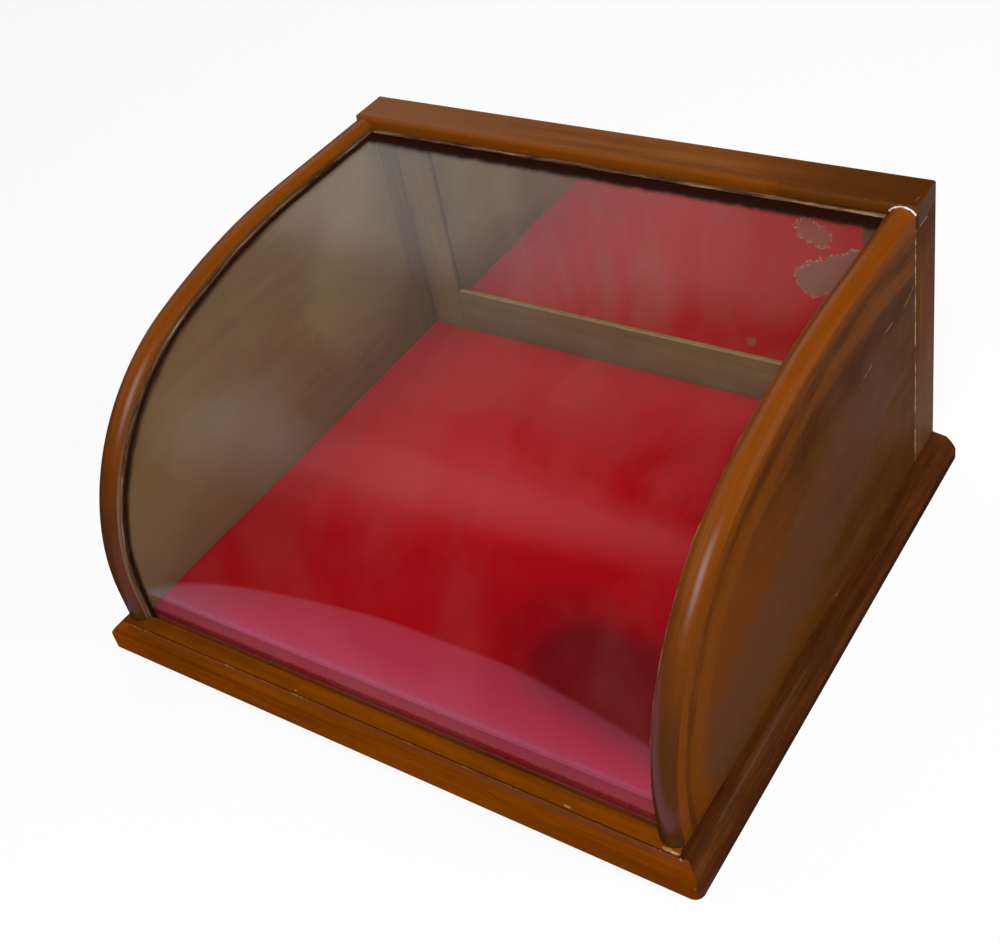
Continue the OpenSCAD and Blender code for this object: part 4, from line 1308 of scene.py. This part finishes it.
@dataclass
class Floor:
    """The loose floor board and the red cloth that is stretched over it.

    Attributes:
        left_mm: The cloth's left edge.
        right_mm: Its right edge.
        front_mm: Its front edge.
        rear_mm: Its rear edge.
        top_mm: Height of its middle.
        drop_mm: How far its edges are turned down.
        thick_mm: Its thickness.
    """

    left_mm: float = -196.0
    right_mm: float = 196.0
    front_mm: float = -167.5
    rear_mm: float = 176.7
    top_mm: float = 24.1
    drop_mm: float = 4.4
    thick_mm: float = 0.6

    def build(self) -> None:
        """Dresses the board and models the cloth."""
        dress(["floor_board"], BareWood("bare_pine_floor").make())
        width, length = self.right_mm - self.left_mm, self.rear_mm - self.front_mm
        middle = ((self.left_mm + self.right_mm) / 2, (self.front_mm + self.rear_mm) / 2, self.top_mm)
        bpy.ops.object.select_all(action="DESELECT")
        bpy.ops.mesh.primitive_grid_add(x_subdivisions=98, y_subdivisions=86, size=1.0,
                                        location=in_metres(middle))
        piece = bpy.context.object
        piece.name = "floor_cloth_stretched"
        piece.scale = (width * MM, length * MM, 1)
        bpy.ops.object.transform_apply(location=True, rotation=True, scale=True)
        self.turn_down(piece)
        apply_modifier(piece, "waves", "DISPLACE", texture=lumps(60), texture_coords="LOCAL", direction="Z",
                       strength=0.5 * MM, mid_level=0.5)
        apply_modifier(piece, "thickness", "SOLIDIFY", thickness=self.thick_mm * MM, offset=-1.0)
        only(piece)
        bpy.ops.object.shade_smooth_by_angle(angle=math.radians(50))
        piece.data.materials.append(RedCloth("red_cotton").make())
        placed(piece, "case", "red_cloth", "floor_cloth")

    def turn_down(self, piece: bpy.types.Object) -> None:
        """Turns the cloth's edges down over the board and rounds the fold."""
        bpy.ops.object.mode_set(mode="EDIT")
        bpy.ops.mesh.select_all(action="SELECT")
        bpy.ops.mesh.region_to_loop()
        bpy.ops.mesh.extrude_region_move(TRANSFORM_OT_translate={"value": (0, 0, -self.drop_mm * MM)})
        bpy.ops.object.mode_set(mode="OBJECT")
        apply_modifier(piece, "fold", "BEVEL", width=0.9 * MM, segments=3, limit_method="ANGLE",
                       angle_limit=math.radians(60))


@dataclass
class Door:
    """The framed mirror, its hinges, knob and turn button.

    Attributes:
        edge_mm: Radius of the worn edges.
        mirror_y_mm: The mirror's front.
        sight_x_mm: From the middle to the side of the frame's opening.
        sight_low_mm: Foot of that opening.
        sight_high_mm: Its top.
    """

    edge_mm: float = 0.5
    mirror_y_mm: float = 183.3
    sight_x_mm: float = 171.0
    sight_low_mm: float = 54.6
    sight_high_mm: float = 182.4

    def build(self) -> None:
        """Softens and dresses the door and its fittings."""
        outside = {"dark": "46260E", "middle": "5A3212", "light": "6A3E18", "coat": 0.2}
        inside = {"dark": "745430", "middle": "7C5B36", "light": "84633C", "coat": 0.05, "gloss": 0.15,
                  "patch": "624326", "figure": 0.03}
        # Painted light: the shaded bevels and sight faces round the mirror are painted pale to look lit
        worn = {"dark": "8A7046", "middle": "94794E", "light": "9E8458", "coat": 0.05, "gloss": 0.1,
                "patch": "8A7046", "figure": 0.02}
        for label, grain, names in (("rails", Axis.X, ("door_bottom_rail", "door_top_rail")),
                                    ("stiles", Axis.Z, ("door_stile_left", "door_stile_right"))):
            finishes = [VarnishedMahogany(f"stained_mahogany_{label}_outside", grain, **outside).make(),
                        VarnishedMahogany(f"stained_mahogany_{label}_inside", grain, **inside).make(),
                        VarnishedMahogany(f"painted_light_mahogany_{label}_bevel", grain, **worn).make()]
            for name in names:
                softened(name, self.edge_mm, "door", "dark_mahogany", finishes, self.frame_face)
        self.mirror()
        dress(["mirror_back_board"], BareWood("bare_pine_back").make())
        dress(["mirror_sprigs"], OldMetal("steel_sprigs", *STEEL).make())
        dress(["hinge_frame_leaves", "hinge_door_leaves", "hinge_pins", "frame_hinge_screws",
               "door_hinge_screws", "door_knob", "turn_button", "turn_button_screw"],
              OldMetal("old_brass").make())

    def frame_face(self, middle: Vector, normal: Vector) -> int:
        """Gives 0 for the door frame's outside, 1 for its inner face and 2 for the edge round the mirror,
        which is painted pale as light.
        """
        if normal.y < -0.5:
            return 1
        inner = middle.y < self.mirror_y_mm * MM and abs(middle.x) < self.sight_x_mm * MM
        return 2 if inner and self.sight_low_mm * MM < middle.z < self.sight_high_mm * MM else 0

    def mirror(self) -> None:
        """Dresses the mirror with the places where its silver is gone."""
        y = self.mirror_y_mm
        patches = (Mark((131, y, 171), (139, y, 166), 8.0, "7A4E44", 0.5, 2.0),
                   Mark((134, y, 131), (168, y, 149), 12.5, "86584C", 0.72, 2.4),
                   Mark((84, y, 69), (85, y, 70), 3.6, "5A2420", 0.5, 1.2, 1.0))
        dress(["mirror"], OldMirror("aged_mirror", patches).make())


def main() -> None:
    """Builds the studio and dresses each sub-assembly in order."""
    logging.basicConfig(level=logging.INFO, format="%(message)s")
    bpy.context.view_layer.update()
    for part in (Studio(), Base(), Carcass(), Glazing(), Floor(), Door()):
        part.build()


if __name__ == "__main__":
    main()
